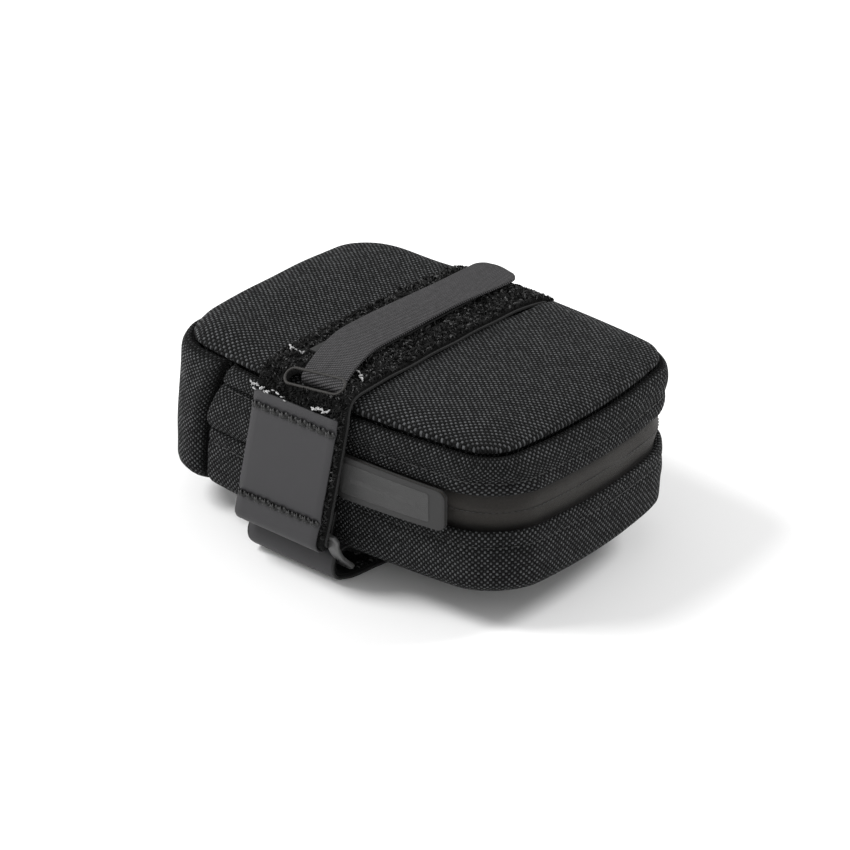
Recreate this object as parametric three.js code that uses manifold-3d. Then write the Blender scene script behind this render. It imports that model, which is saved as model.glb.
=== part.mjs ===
// A small saddle bag: a padded fabric box with a zipped mouth at one end, held up by one hook-and-loop
// strap that runs round its middle and through a flat ring, with a grip ribbon on top of the strap.
// Millimetres, +Z up. X runs along the bag, from the seat post end (-X) to the mouth (+X).
// The near side, with the zip slider and the ring, is -Y. The origin is on the face that the bag
// stands on, the underside of the strap, below the middle of the bag.
import * as THREE from "three";
import { mergeVertices } from "three/addons/utils/BufferGeometryUtils.js";
import Module from "manifold-3d";

const wasm = await Module();
wasm.setup();

// The bag's outer form
const halfLength = 59.5; // middle of the bag to each end, at its corners
const halfWidth = 39.6; // middle of the bag to each side, at its corners
const sideBow = 4.8; // how far each side bulges between its corners
const frontBow = 4.3; // the same for the mouth end
const rearBow = 1.3; // the same for the seat post end
const rearCorner = 12.5; // corner radii in plan
const frontCorner = 14.7;
const rearFlare = 5.8; // the seat post end leans out by this much at its foot
const bottomRound = 8.7; // radius of the bottom edge
const seamHeight = 45; // seam between the top panel and the upper band
const seamInset = 1.9;
const crown = 2.6; // height of the top panel's crown above its seam
const crownRun = 13; // the crown rises over this much of the panel's edge
const bottomEdge = 9.2; // inset of the seam between the lower band and the bottom panel
const wall = 2.0; // thickness of the sewn and padded walls
const gap = 0.3; // clearance between sewn pieces
const boardThickness = 1.2; // foam stiffener boards
const topBoardInset = 5;
const endBoard = { foot: 6, top: 41, halfWidth: 24, front: -52 };

// Heights of the bands, above the bag's bottom
const lowerBandTop = 20.3;
const wallStraightFrom = 24; // the walls stand straight from here to the shoulder
const shoulderHeight = 39;
const upperBandFoot = 31.5;
const zipHeight = 26;
const standHeight = 9.6; // the bag's bottom above the face that it stands on

// How far the cutters reach past the bag
const pastX = 90;
const pastY = 70;
const pastTop = 60;
const pastBottom = -5;

// The zip
const zipStartX = -4; // both ends of the zip, near and far side, under the strap
const mouthHingeX = 12; // fold line of the mouth, at zip height
const mouthAngle = 24; // how far the mouth drops open, in degrees
const tapeInset = 1.4; // the tape lies this far inside the bands' outer face
const tapeThickness = 1.0;
const tapeGap = 1.4; // between the two tapes, where the slider's neck runs
const coilInset = 2.7;
const coilSize = 1.3;

const slider = { x: 5.5, y: -44.58, turn: 0.0741 }; // its place and direction at rest
const sliderPlate = { length: 9, height: 6, radius: 2, thickness: 1, outerY: 0.4, innerY: 6.3 };
const sliderNeck = { low: [-2.5, -0.3, -0.35], high: [2.5, 5.9, 0.35] };
const sliderArch = { low: [-2.2, -2.4, -0.8], high: [2.9, -0.4, 0.8] };
const archEye = { low: [-1.4, -1.8, -2], high: [2.4, -0.65, 2] };
const stopSize = { length: 3, depth: 1.4 };

// The pull, from the slider's middle
const pull = { rear: 3.2, length: 35.9, height: 12, radius: 2.4 };
const layers = { backY: -1.3, back: 0.8, front: 0.6 };
const link = { rear: 0.4, bar: 0.8, armEnd: 3.4, end: 7, half: 2.3, arm: 1.0, outY: -1.95, inY: -0.95 };

// The strap
const strapWidth = 31.4;
const strapThickness = 2.4;
const strapTopX = -4; // middle of the strap over the top
const strapRingX = -7.8; // middle of the strap at the ring
const upperBar = { y: -49, z: 6.6 }; // the ring's two bars, above the bag's bottom
const lowerBar = { y: -43.2, z: -3.6 };
const barSize = 2.0;
const curlRadius = 3.0; // strap's middle line round the upper bar
const rollRadius = 4.0; // strap's middle line round the lower bar
const tailHeight = -8.4; // middle line of the tail under the bag
const underHeight = -4.8; // middle line of the strap's run under the bag
const overHeight = 49.4; // middle line of the strap's run over the bag
const tailSplitY = 6; // the tail's tip peels off from here
const tailEndY = 30;
const tailSkew = 0.17; // the tail runs back under the bag at a slant, towards the mouth
const patchThickness = 0.6;
const patchWidth = 28.6;

// The grip ribbon
const ribbonWidth = 15.5;
const ribbonThickness = 1.0;
const ribbonX = -5.4;
const ribbonHinge = { y: -41.6, z: 51.9 };
const ribbonEndY = 39;
const slot = { y: -43.4, z: 47.8, length: 19, width: 4.4, tilt: 0.92 };

const fabric = { color: 0x2a2b2d, roughness: 0.85 };
const foam = { color: 0x3a3a3c, roughness: 0.95 };
const tapeCloth = { color: 0x252321, roughness: 0.7 };
const pile = { color: 0x17181a, roughness: 0.95 };
const coated = { color: 0x4b4b4e, roughness: 0.6 };
const ribbonCloth = { color: 0x5f5a5d, roughness: 0.6 };
const darkMetal = { color: 0x55565a, roughness: 0.4, metalness: 0.8 };
const rubber = { color: 0x4a4a4c, roughness: 0.55 };
const nylon = { color: 0x1b1a19, roughness: 0.5 };

const bag = new THREE.Group();
bag.position.z = standHeight;

// Adds a named mesh with a material of its own.
function piece(name, solid, finish) {
  const material = new THREE.MeshStandardMaterial({ metalness: 0, ...finish });
  const mesh = new THREE.Mesh(toGeometry(solid), material);
  mesh.name = name;
  bag.add(mesh);
}

// A closed geometry as a solid that can be joined and cut.
function toSolid(geometry) {
  const bare = geometry.index ? geometry.toNonIndexed() : geometry.clone();
  bare.deleteAttribute("normal");
  bare.deleteAttribute("uv");
  const merged = mergeVertices(bare, 1e-4);
  const vertProperties = merged.attributes.position.array;
  const triVerts = new Uint32Array(merged.index.array);
  const solid = new wasm.Manifold(new wasm.Mesh({ numProp: 3, vertProperties, triVerts }));
  if (solid.volume() > 0) return solid;
  triVerts.reverse();
  return new wasm.Manifold(new wasm.Mesh({ numProp: 3, vertProperties, triVerts }));
}

function toGeometry(solid) {
  const mesh = solid.getMesh();
  const geometry = new THREE.BufferGeometry();
  geometry.setAttribute("position", new THREE.BufferAttribute(mesh.vertProperties, 3));
  geometry.setIndex(new THREE.BufferAttribute(mesh.triVerts, 1));
  const flat = geometry.toNonIndexed();
  flat.computeVertexNormals();
  return flat;
}

// A closed skin over a row of rings with equal numbers of points, with a flat cap at each end.
function skin(rings) {
  const count = rings[0].length;
  const positions = rings.flat().flatMap((p) => [p.x, p.y, p.z]);
  const index = [];
  for (let i = 0; i + 1 < rings.length; i++) {
    for (let j = 0; j < count; j++) {
      const a = i * count + j;
      const b = i * count + ((j + 1) % count);
      index.push(a, b, b + count, a, b + count, a + count);
    }
  }
  const last = (rings.length - 1) * count;
  for (let j = 1; j + 1 < count; j++) {
    index.push(0, j + 1, j);
    index.push(last, last + j, last + j + 1);
  }
  const geometry = new THREE.BufferGeometry();
  geometry.setAttribute("position", new THREE.Float32BufferAttribute(positions, 3));
  geometry.setIndex(index);
  return toSolid(geometry);
}

function box(low, high) {
  const size = high.map((h, i) => h - low[i]);
  const geometry = new THREE.BoxGeometry(...size);
  geometry.translate(...high.map((h, i) => (h + low[i]) / 2));
  return toSolid(geometry);
}

// Points along an arc about a centre, from one angle to another.
function arc(centre, radius, fromDegrees, toDegrees, steps) {
  return Array.from({ length: steps + 1 }, (_, i) => {
    const angle = THREE.MathUtils.degToRad(fromDegrees + ((toDegrees - fromDegrees) * i) / steps);
    return new THREE.Vector2(centre.y + radius * Math.cos(angle), centre.z + radius * Math.sin(angle));
  });
}

// The bag's outline in plan at a height, drawn in by an inset: a box with rounded corners, whose
// sides and ends then bulge as parabolas between its corners.
function outline(inset, z) {
  const rear = -halfLength - rearFlare * (1 - z / seamHeight) + inset;
  const front = halfLength - inset;
  const side = halfWidth - inset;
  const rearR = rearCorner - inset / 2;
  const frontR = frontCorner - inset / 2;
  const middle = (rear + front) / 2;
  const half = (front - rear) / 2;
  const corners = [
    [front - frontR, -side + frontR, frontR, -90],
    [front - frontR, side - frontR, frontR, 0],
    [rear + rearR, side - rearR, rearR, 90],
    [rear + rearR, -side + rearR, rearR, 180],
  ];
  const box = corners.map(([x, y, radius, from]) => arc({ y: x, z: y }, radius, from, from + 90, 6));
  const points = [];
  box.forEach((corner, i) => {
    const next = box[(i + 1) % box.length];
    points.push(...corner);
    for (const part of [0.2, 0.4, 0.6, 0.8]) points.push(corner.at(-1).clone().lerp(next[0], part));
  });
  return points.map((p) => {
    const u = (p.x - middle) / half;
    const v = p.y / side;
    const endBow = u > 0 ? frontBow : rearBow;
    return new THREE.Vector3(p.x + endBow * u * (1 - v * v), p.y + sideBow * v * (1 - u * u), z);
  });
}

// A solid of the bag's plan between two heights.
function prism(inset, low, high) {
  return skin([outline(inset, low), outline(inset, high)]);
}

// The whole form of the bag below the top panel, drawn in by an inset all round.
function bodyForm(inset) {
  const rings = [];
  const round = bottomRound - inset;
  for (const turn of [0, 0.3, 0.65, 1]) {
    const angle = (turn * Math.PI) / 2;
    rings.push(outline(bottomRound - round * Math.sin(angle), bottomRound - round * Math.cos(angle)));
  }
  rings.push(outline(inset, wallStraightFrom));
  rings.push(outline(inset, shoulderHeight));
  rings.push(outline(inset + seamInset, seamHeight));
  return skin(rings);
}

const shell = bodyForm(0).subtract(bodyForm(wall));

// A wedge-shaped cutter that holds everything towards the seat post end of a slanting cross plane.
function rearOf(footX, topX) {
  const section = new THREE.Shape();
  section.moveTo(-pastX, pastBottom);
  section.lineTo(footX, pastBottom);
  section.lineTo(topX, pastTop);
  section.lineTo(-pastX, pastTop);
  const geometry = new THREE.ExtrudeGeometry(section, { depth: 2 * pastY, bevelEnabled: false });
  geometry.rotateX(Math.PI / 2);
  geometry.translate(0, pastY, 0);
  return toSolid(geometry);
}

function slab(low, high, from = -pastX, to = pastX, near = -pastY, far = pastY) {
  return box([from, near, low], [to, far, high]);
}

// Everything on one side of the bag's middle plane: -1 is the near side, 1 the far side.
function sideOf(sign) {
  return slab(pastBottom, pastTop, -pastX, pastX, Math.min(0, sign * pastY), Math.max(0, sign * pastY));
}

const sides = [["near", -1], ["far", 1]];

// The end panel's seam runs up the sides at a slant; the lower shell folds along the plane through
// the mouth's fold line, so that the front of it can drop.
const seamPlane = [-49, -31];
const endSide = rearOf(...seamPlane);
const endSideWithGap = rearOf(seamPlane[0] + gap, seamPlane[1] + gap);
const foldSlope = Math.tan(THREE.MathUtils.degToRad(mouthAngle + 1.5));
const foldX = (z) => mouthHingeX - gap - (zipHeight - z) * foldSlope;
const foldSide = rearOf(foldX(pastBottom), foldX(pastTop));

function addTop() {
  const rings = [];
  rings.push(outline(seamInset + gap, seamHeight + gap));
  for (const turn of [0.25, 0.5, 0.75]) {
    const angle = (turn * Math.PI) / 2;
    const inset = seamInset + gap + crownRun * (1 - Math.cos(angle));
    rings.push(outline(inset, seamHeight + gap + (crown - gap) * Math.sin(angle)));
  }
  rings.push(outline(seamInset + gap + crownRun + wall, seamHeight + crown));
  piece("top_panel", skin(rings), fabric);
  const boardTop = seamHeight - gap;
  piece("top_board", prism(topBoardInset, boardTop - boardThickness, boardTop), foam);
}

function addUpperBand() {
  const ring = shell.intersect(slab(upperBandFoot, seamHeight));
  piece("upper_band", ring.subtract(endSideWithGap), fabric);
}

function addEnd() {
  const panel = shell.intersect(endSide).subtract(prism(bottomEdge, -1, wall + 1));
  piece("end_panel", panel, fabric);
  const board = bodyForm(wall + gap).subtract(bodyForm(wall + gap + boardThickness));
  const { foot, top, halfWidth: half, front } = endBoard;
  piece("end_board", board.intersect(slab(foot, top, -pastX, front, -half, half)), foam);
}

// The fabric part of the zip strip, from the end panel to the start of the zip on each side.
function addGussets() {
  const level = slab(lowerBandTop + gap, upperBandFoot - gap, -pastX, zipStartX);
  const both = shell.intersect(level).subtract(endSideWithGap);
  for (const [side, sign] of sides) piece("side_gusset_" + side, both.intersect(sideOf(sign)), fabric);
}

// The lower band and the bottom panel.
function addLowerShell() {
  const bottomCut = prism(bottomEdge, -1, wall + 1);
  const whole = shell.intersect(slab(pastBottom, lowerBandTop)).subtract(bottomCut);
  const rear = whole.intersect(foldSide).subtract(endSideWithGap);
  for (const [side, sign] of sides) piece("lower_band_rear_" + side, rear.intersect(sideOf(sign)), fabric);
  const frontSide = slab(pastBottom, pastTop, mouthHingeX + gap);
  piece("lower_band_front", whole.intersect(frontSide), fabric);
  const bottom = prism(bottomEdge + gap, 0, wall);
  piece("bottom_panel_rear", bottom.intersect(foldSide), fabric);
  piece("bottom_panel_front", bottom.intersect(frontSide), fabric);
  const board = prism(bottomEdge + gap, wall + gap, wall + gap + boardThickness);
  const bluntFold = slab(pastBottom, pastTop, -pastX, foldX(wall) - gap);
  piece("bottom_board_rear", board.intersect(bluntFold), foam);
  piece("bottom_board_front", board.intersect(frontSide), foam);
}

// One tape or coil: a strip of the bag's form between two insets and two heights.
function strip(inset, thickness, low, high, from, to = pastX) {
  const whole = prism(inset, low, high).subtract(prism(inset + thickness, low - 1, high + 1));
  return whole.intersect(slab(low - 1, high + 1, from, to));
}

function addZip() {
  const upperEdge = zipHeight + tapeGap / 2;
  const lowerEdge = zipHeight - tapeGap / 2;
  const start = zipStartX + gap;
  const fold = mouthHingeX + gap;
  const tapeTop = upperBandFoot - gap;
  const tapeFoot = lowerBandTop + gap;
  piece("zip_tape_upper", strip(tapeInset, tapeThickness, upperEdge, tapeTop, start), tapeCloth);
  piece("zip_coil_upper", strip(coilInset, coilSize, upperEdge, upperEdge + coilSize, start), nylon);
  piece("zip_tape_lower", strip(tapeInset, tapeThickness, tapeFoot, lowerEdge, fold), tapeCloth);
  piece("zip_coil_lower", strip(coilInset, coilSize, lowerEdge - coilSize, lowerEdge, fold), nylon);
  const rearTape = strip(tapeInset, tapeThickness, tapeFoot, lowerEdge, start).intersect(foldSide);
  for (const [side, sign] of sides) {
    piece("zip_tape_rear_" + side, rearTape.intersect(sideOf(sign)), tapeCloth);
    const y = sign * (halfWidth + sideBow - coilInset - coilSize / 2);
    const { length, depth } = stopSize;
    const low = [start, y - depth / 2, lowerEdge - coilSize];
    piece("zip_stop_" + side, box(low, [start + length, y + depth / 2, lowerEdge]), darkMetal);
  }
}

// A flat plate with rounded corners, standing along X and Z, from y = 0 to y = -thickness.
function roundedPlate(length, height, radius, thickness) {
  const plate = new THREE.Shape();
  const x = length / 2 - radius;
  const z = height / 2 - radius;
  plate.absarc(x, z, radius, 0, Math.PI / 2);
  plate.absarc(-x, z, radius, Math.PI / 2, Math.PI);
  plate.absarc(-x, -z, radius, Math.PI, 1.5 * Math.PI);
  plate.absarc(x, -z, radius, 1.5 * Math.PI, 2 * Math.PI);
  const options = { depth: thickness, bevelEnabled: false, curveSegments: 3 };
  const geometry = new THREE.ExtrudeGeometry(plate, options);
  geometry.rotateX(Math.PI / 2);
  return geometry;
}

// Places a sub-part of the slider or its pull: drawn about the slider's middle at the zip's height,
// turned to run along the chord of the bowed side.
function onSlider(solid) {
  const geometry = toGeometry(solid);
  geometry.rotateZ(slider.turn);
  geometry.translate(slider.x, slider.y, zipHeight);
  return toSolid(geometry);
}

// The slider has a plate on each side of the tapes, a neck between them and an arch for its pull.
function addSlider() {
  const { length, height, radius, thickness, outerY, innerY } = sliderPlate;
  const plate = (y) => toSolid(roundedPlate(length, height, radius, thickness).translate(0, y, 0));
  const neck = box(sliderNeck.low, sliderNeck.high);
  const arch = box(sliderArch.low, sliderArch.high);
  const eye = box(archEye.low, archEye.high);
  const body = plate(outerY).add(plate(innerY)).add(neck).add(arch).subtract(eye);
  piece("slider_body", onSlider(body), darkMetal);
}

// The pull: a metal link whose bar runs under the arch, and a flexible tab of two bonded layers
// that holds the link's tongue between them.
function addPull() {
  const { rear, armEnd, end, half, outY, inY } = link;
  const bar = box([rear, outY + 0.4, -half], [rear + link.bar, inY, half]);
  const lowArm = box([rear, outY, -half], [armEnd, inY, -half + link.arm]);
  const highArm = box([rear, outY, half - link.arm], [armEnd, inY, half]);
  const tongue = box([armEnd, outY, -half], [end, outY + 0.5, half]);
  piece("pull_link", onSlider(bar.add(lowArm).add(highArm).add(tongue)), darkMetal);
  const pocket = box([0, -pastY, -half - gap], [end + gap, 0, half + gap]);
  const layer = (thickness, y) => {
    const plate = roundedPlate(pull.length, pull.height, pull.radius, thickness);
    return toSolid(plate.translate(pull.rear + pull.length / 2, y, 0));
  };
  piece("pull_tab_back", onSlider(layer(layers.back, layers.backY).subtract(pocket)), rubber);
  piece("pull_tab_front", onSlider(layer(layers.front, layers.backY - layers.back - gap)), rubber);
}

// A band carried along a line of (y, z) points, its middle moving from x to x along the way.
function band(line, width, thickness, middleAt) {
  const rings = line.map((p, i) => {
    const before = line[Math.max(i - 1, 0)];
    const after = line[Math.min(i + 1, line.length - 1)];
    const along = after.clone().sub(before).normalize();
    const out = new THREE.Vector2(-along.y, along.x).multiplyScalar(thickness / 2);
    const x = middleAt(p);
    return [
      new THREE.Vector3(x - width / 2, p.x - out.x, p.y - out.y),
      new THREE.Vector3(x + width / 2, p.x - out.x, p.y - out.y),
      new THREE.Vector3(x + width / 2, p.x + out.x, p.y + out.y),
      new THREE.Vector3(x - width / 2, p.x + out.x, p.y + out.y),
    ];
  });
  return skin(rings);
}

const at = (...pairs) => pairs.map(([y, z]) => new THREE.Vector2(y, z));

// The strap leans towards the seat post end on its way down the near side, and its tail runs at a slant.
function strapMiddle(p) {
  if (p.y < tailHeight + gap) return strapRingX + tailSkew * (p.x - lowerBar.y);
  const low = 1 - THREE.MathUtils.smoothstep(p.y, 0, overHeight - 5);
  return strapTopX + (strapRingX - strapTopX) * low;
}

const nearRise = at([-51.6, 16], [-50.0, 28], [-48.3, 39], [-46.9, 44]);
const overRun = at([-44.4, 47.2], [-41, 48.9], [-36, overHeight], [36, overHeight], [42, 48.5]);
const farFall = at([46, 45.5], [47.3, 40], [47.4, 22], [47.4, 4]);
const farCurl = arc({ y: 40.4, z: 2.2 }, 7, 0, -90, 4);
const underRun = at([20, underHeight], [-24, underHeight], [-31, -4.5], [-36, -3.0]);
const roll = arc(lowerBar, rollRadius, 62, 245, 9);
const tailRun = at([-41.5, -8.1], [-37, tailHeight], [tailSplitY, tailHeight]);

// One long strap. It starts in the loop round the ring's upper bar, climbs the near side, crosses the
// top, drops down the far side, passes back under the bag, goes up through the ring and folds round
// its lower bar, and ends in the tail under the bag.
function addStrap() {
  const curl = arc(upperBar, curlRadius, 0, -180, 6);
  const line = [...at([-46, 14], [-46, 10]), ...curl, ...nearRise, ...overRun, ...farFall, ...farCurl];
  line.push(...underRun, ...roll, ...tailRun);
  const whole = band(line, strapWidth, strapThickness, strapMiddle);
  piece("strap_band", whole.subtract(slotCutter(slot.length, slot.width, 12)), pile);
  const rim = slotCutter(slot.length + 1.2, slot.width + 1.2, 0.6, strapThickness / 2 + gap + 0.6);
  const hole = slotCutter(slot.length - 1.2, slot.width - 1.2, 12);
  piece("slot_binding", rim.subtract(hole), ribbonCloth);
}

// A prism with round ends that stands square to the strap where the ribbon comes out. Its outer face
// is a distance out from the strap's middle line.
function slotCutter(length, width, depth, out = depth / 2) {
  const geometry = roundedPlate(length, width, width / 2 - 0.01, depth);
  geometry.translate(0, depth - out, 0);
  geometry.rotateX(-slot.tilt);
  geometry.translate(ribbonX, slot.y, slot.z);
  return toSolid(geometry);
}

// The coated patch over the near side of the strap, and round the loop at the ring.
function addTabPatch() {
  const away = strapThickness / 2 + gap + patchThickness / 2;
  const curl = arc(upperBar, curlRadius + away, -95, -178, 4);
  const rise = nearRise.slice(0, 3).map((p) => new THREE.Vector2(p.x - away, p.y - 0.2));
  const middle = (p) => strapMiddle(p) - (strapWidth - patchWidth) / 2;
  piece("tab_patch", band([...curl, ...rise], patchWidth, patchThickness, middle), coated);
}

// The tail's tip peels away from the strap's pile, which its hook patch grips.
function addTail() {
  const start = tailSplitY + 2 * gap;
  const tip = at([start, tailHeight], [tailEndY, tailHeight]);
  piece("tail_tip", band(tip, strapWidth, strapThickness, strapMiddle), pile);
  const hookHeight = (tailHeight + underHeight) / 2;
  const middle = (p) => strapRingX + tailSkew * (p.x - lowerBar.y);
  const hook = band(at([start + 2, hookHeight], [tailEndY - 1, hookHeight]), strapWidth - 3, 0.5, middle);
  piece("tail_hook", hook, nylon);
}

// The flat ring that the strap is threaded through: two bars along X joined by two curved legs.
function addRing() {
  const half = barSize / 2;
  const reach = strapWidth / 2 + 3;
  const bars = [upperBar, lowerBar].map(({ y, z }) =>
    box([strapRingX - reach, y - half, z - half], [strapRingX + reach, y + half, z + half]),
  );
  const knee = [(upperBar.y + lowerBar.y) / 2 - 1, (upperBar.z + lowerBar.z) / 2 - 0.7];
  const line = at([upperBar.y, upperBar.z], knee, [lowerBar.y, lowerBar.z]);
  const legs = [-1, 1].map((side) => band(line, 1.8, barSize, () => strapRingX + side * (reach - 0.9)));
  piece("strap_ring", bars[0].add(bars[1]).add(legs[0]).add(legs[1]), darkMetal);
}

// The grip ribbon: its root is sewn between the strap's layers and comes out of the slot, and its
// tongue lies on the strap, held by a hook patch.
function addRibbon() {
  const { y, z } = ribbonHinge;
  const root = at([-42.9, 47.2], [-45.1, 50.1], [-45.1, 51.0], [-44.3, 51.8], [y - 0.9, z]);
  piece("ribbon_root", band(root, ribbonWidth, ribbonThickness, () => ribbonX), ribbonCloth);
  const tongue = at([y + 0.9, z], [-34, z + 0.1], [28, z - 0.1], [34, z + 0.3], [ribbonEndY, z + 1.6]);
  piece("ribbon_tongue", band(tongue, ribbonWidth, ribbonThickness, () => ribbonX), ribbonCloth);
  const hookHeight = (overHeight + strapThickness / 2 + z - ribbonThickness / 2) / 2;
  const hook = at([-33, hookHeight], [27, hookHeight]);
  piece("ribbon_hook", band(hook, ribbonWidth - 1, 0.5, () => ribbonX), nylon);
}

addTop();
addUpperBand();
addEnd();
addGussets();
addLowerShell();
addZip();
addSlider();
addPull();
addStrap();
addTabPatch();
addTail();
addRing();
addRibbon();

export default bag;
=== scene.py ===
import math

import bpy
import numpy as np
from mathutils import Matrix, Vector


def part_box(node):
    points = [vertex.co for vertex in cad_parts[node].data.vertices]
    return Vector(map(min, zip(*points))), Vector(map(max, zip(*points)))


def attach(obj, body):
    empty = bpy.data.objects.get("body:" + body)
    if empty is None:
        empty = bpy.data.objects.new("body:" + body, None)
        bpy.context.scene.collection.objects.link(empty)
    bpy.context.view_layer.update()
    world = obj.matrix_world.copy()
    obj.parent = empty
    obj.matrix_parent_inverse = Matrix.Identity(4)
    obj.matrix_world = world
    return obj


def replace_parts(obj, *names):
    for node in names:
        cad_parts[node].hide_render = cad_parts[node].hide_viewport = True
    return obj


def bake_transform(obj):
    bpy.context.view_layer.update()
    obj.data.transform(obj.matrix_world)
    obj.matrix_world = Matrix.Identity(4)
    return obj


# A small saddle bag of padded cloth with a zipped mouth, and the strap, ring and ribbon that hold it up.
# Shapes are worked out in millimetres above the bag's bottom, then put into the frame in metres.
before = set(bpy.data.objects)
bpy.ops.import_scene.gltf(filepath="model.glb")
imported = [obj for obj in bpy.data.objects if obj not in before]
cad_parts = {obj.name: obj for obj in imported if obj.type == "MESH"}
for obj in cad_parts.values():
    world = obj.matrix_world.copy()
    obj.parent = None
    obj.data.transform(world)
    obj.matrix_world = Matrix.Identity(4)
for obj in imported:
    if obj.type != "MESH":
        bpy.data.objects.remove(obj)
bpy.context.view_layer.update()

mm = 0.001
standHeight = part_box("bottom_panel_rear")[0].z / mm  # the bag's bottom, above the face it stands on
random = np.random.default_rng(7)


def smooth(x, low, high):  # 0 below low, 1 above high, a smooth step between
    t = np.clip((x - low) / (high - low), 0, 1)
    return t * t * (3 - 2 * t)


def hump(x, middle, width):  # a bell of height 1
    return np.exp(-(((x - middle) / width) ** 2))


def splinePath(points, count, closed=False):
    # Catmull-Rom through the points, then resampled at even steps along its length
    p = np.asarray(points, float)
    ends = [p[-1], p[0], p[1]] if closed else [2 * p[0] - p[1], 2 * p[-1] - p[-2]]
    full = np.vstack([ends[0], p, ends[1:]])
    spans = len(p) if closed else len(p) - 1
    t = np.linspace(0, spans, spans * 24 + 1)
    i = np.minimum(t.astype(int), spans - 1)
    f = (t - i)[:, None]
    a, b, c, d = (full[i + k] for k in range(4))
    square, cube = 2 * a - 5 * b + 4 * c - d, 3 * b - a - 3 * c + d
    curve = 0.5 * (2 * b + (c - a) * f + square * f**2 + cube * f**3)
    run = lengthAlong(curve)
    even = np.linspace(0, run[-1], count + (1 if closed else 0))
    spread = np.stack([np.interp(even, run, curve[:, k]) for k in range(p.shape[1])], 1)
    return spread[:-1] if closed else spread


def lengthAlong(points):  # running length at each point of a line
    steps = np.linalg.norm(np.diff(points, axis=0), axis=1)
    return np.concatenate([[0], np.cumsum(steps)])


def arcPoints(centre, radius, fromDegrees, toDegrees, count):
    # points on a circle's arc: the centre plus the radius times cosine and sine
    a = np.radians(np.linspace(fromDegrees, toDegrees, count))
    return np.stack([centre[0] + radius * np.cos(a), centre[1] + radius * np.sin(a)], 1)


def unit(v):
    # each vector divided by its length
    return v / np.maximum(np.linalg.norm(v, axis=-1, keepdims=True), 1e-9)


def makePiece(name, verts, faces, materials, uv=None, slots=None, sharp=40):
    # verts in millimetres over the bag's bottom; faces is an array of quads, with -1 as the fourth
    # corner of a triangle; uv holds one pair for each corner, in millimetres
    faces = np.asarray(faces)
    size = np.where(faces[:, 3] < 0, 3, 4)
    keep = np.arange(4)[None, :] < size[:, None]
    mesh = bpy.data.meshes.new(name)
    place = (np.asarray(verts, float) + [0, 0, standHeight]) * mm
    mesh.vertices.add(len(place))
    mesh.vertices.foreach_set("co", place.ravel())
    mesh.loops.add(int(size.sum()))
    mesh.loops.foreach_set("vertex_index", faces[keep])
    mesh.polygons.add(len(faces))
    mesh.polygons.foreach_set("loop_start", np.concatenate([[0], np.cumsum(size)[:-1]]))
    mesh.polygons.foreach_set("use_smooth", np.ones(len(faces), bool))
    if slots is not None:
        mesh.polygons.foreach_set("material_index", np.asarray(slots, np.int32))
    if uv is not None:
        layer = mesh.uv_layers.new(name="cloth")
        layer.data.foreach_set("uv", np.asarray(uv, float)[keep].ravel())
    mesh.update(calc_edges=True)
    mesh.validate()
    for material in materials:
        mesh.materials.append(material)
    mesh.set_sharp_from_angle(angle=math.radians(sharp))
    piece = bpy.data.objects.new(name, mesh)
    bpy.context.scene.collection.objects.link(piece)
    return piece


def gridFaces(rows, columns, wrap):
    # quads over a grid of rows x columns points; wrap closes the columns into a ring
    r = np.arange(rows - 1)[:, None]
    c = np.arange(columns if wrap else columns - 1)[None, :]
    n = (c + 1) % columns
    quads = [r * columns + c, r * columns + n, (r + 1) * columns + n, (r + 1) * columns + c]
    return np.stack([np.broadcast_to(q, (rows - 1, c.size)).ravel() for q in quads], 1)


def gridUv(u, v):
    # corner pairs for gridFaces, from one u and v for each point, with the closing column added
    corners = [(0, 0), (0, 1), (1, 1), (1, 0)]
    rows, columns = u.shape[0] - 1, u.shape[1] - 1
    parts = [np.stack([g[a:a + rows, b:b + columns] for a, b in corners], -1) for g in (u, v)]
    return np.stack(parts, -1).reshape(-1, 4, 2)


def fan(ring, centre, flip=False):
    # triangles from a ring of point numbers to one centre point
    nextRing = np.roll(ring, -1)
    pair = (nextRing, ring) if flip else (ring, nextRing)
    return np.stack([pair[0], pair[1], np.full(len(ring), centre), np.full(len(ring), -1)], 1)


def poleFaces(rows, columns):
    # the fans that close a stack of rings, to the two pole points that follow the rings' own points
    first = fan(np.arange(columns), rows * columns)
    last = fan(np.arange(columns) + (rows - 1) * columns, rows * columns + 1, True)
    return np.concatenate([first, last])


def closedFaces(rows, columns):  # the skin of a stack of rings, and the fans at its two poles
    return np.concatenate([gridFaces(rows, columns, True), poleFaces(rows, columns)])


def sweep(name, rings, materials, rowSlots=None, capSlot=0, uvShift=(0, 0)):
    # a closed body through equal rings of points, rings[i, j], each closed, with a cap at each end
    rows, columns = rings.shape[:2]
    faces = gridFaces(rows, columns, True)
    closedRings = np.concatenate([rings, rings[:, :1]], 1)
    across = np.linalg.norm(np.diff(closedRings, axis=1), axis=2)
    along = np.linalg.norm(np.diff(rings, axis=0), axis=2).mean(1)
    u = np.concatenate([[0], np.cumsum(along)])[:, None] + np.zeros((1, columns + 1)) + uvShift[0]
    v = np.concatenate([[0], np.cumsum(across.mean(0))])[None, :] + np.zeros((rows, 1)) + uvShift[1]
    uv = gridUv(u, v)
    ends = rings[[0, -1]].mean(1)
    caps = poleFaces(rows, columns)
    slots = np.zeros(len(faces), int) if rowSlots is None else np.tile(rowSlots, rows - 1)
    slots = np.concatenate([slots, np.full(len(caps), capSlot)])
    verts = np.concatenate([rings.reshape(-1, 3), ends])
    capUv = verts[np.maximum(caps, 0)][:, :, :2]
    allUv = np.concatenate([uv, capUv])
    return closeUp(makePiece(name, verts, np.concatenate([faces, caps]), materials, allUv, slots))


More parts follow.
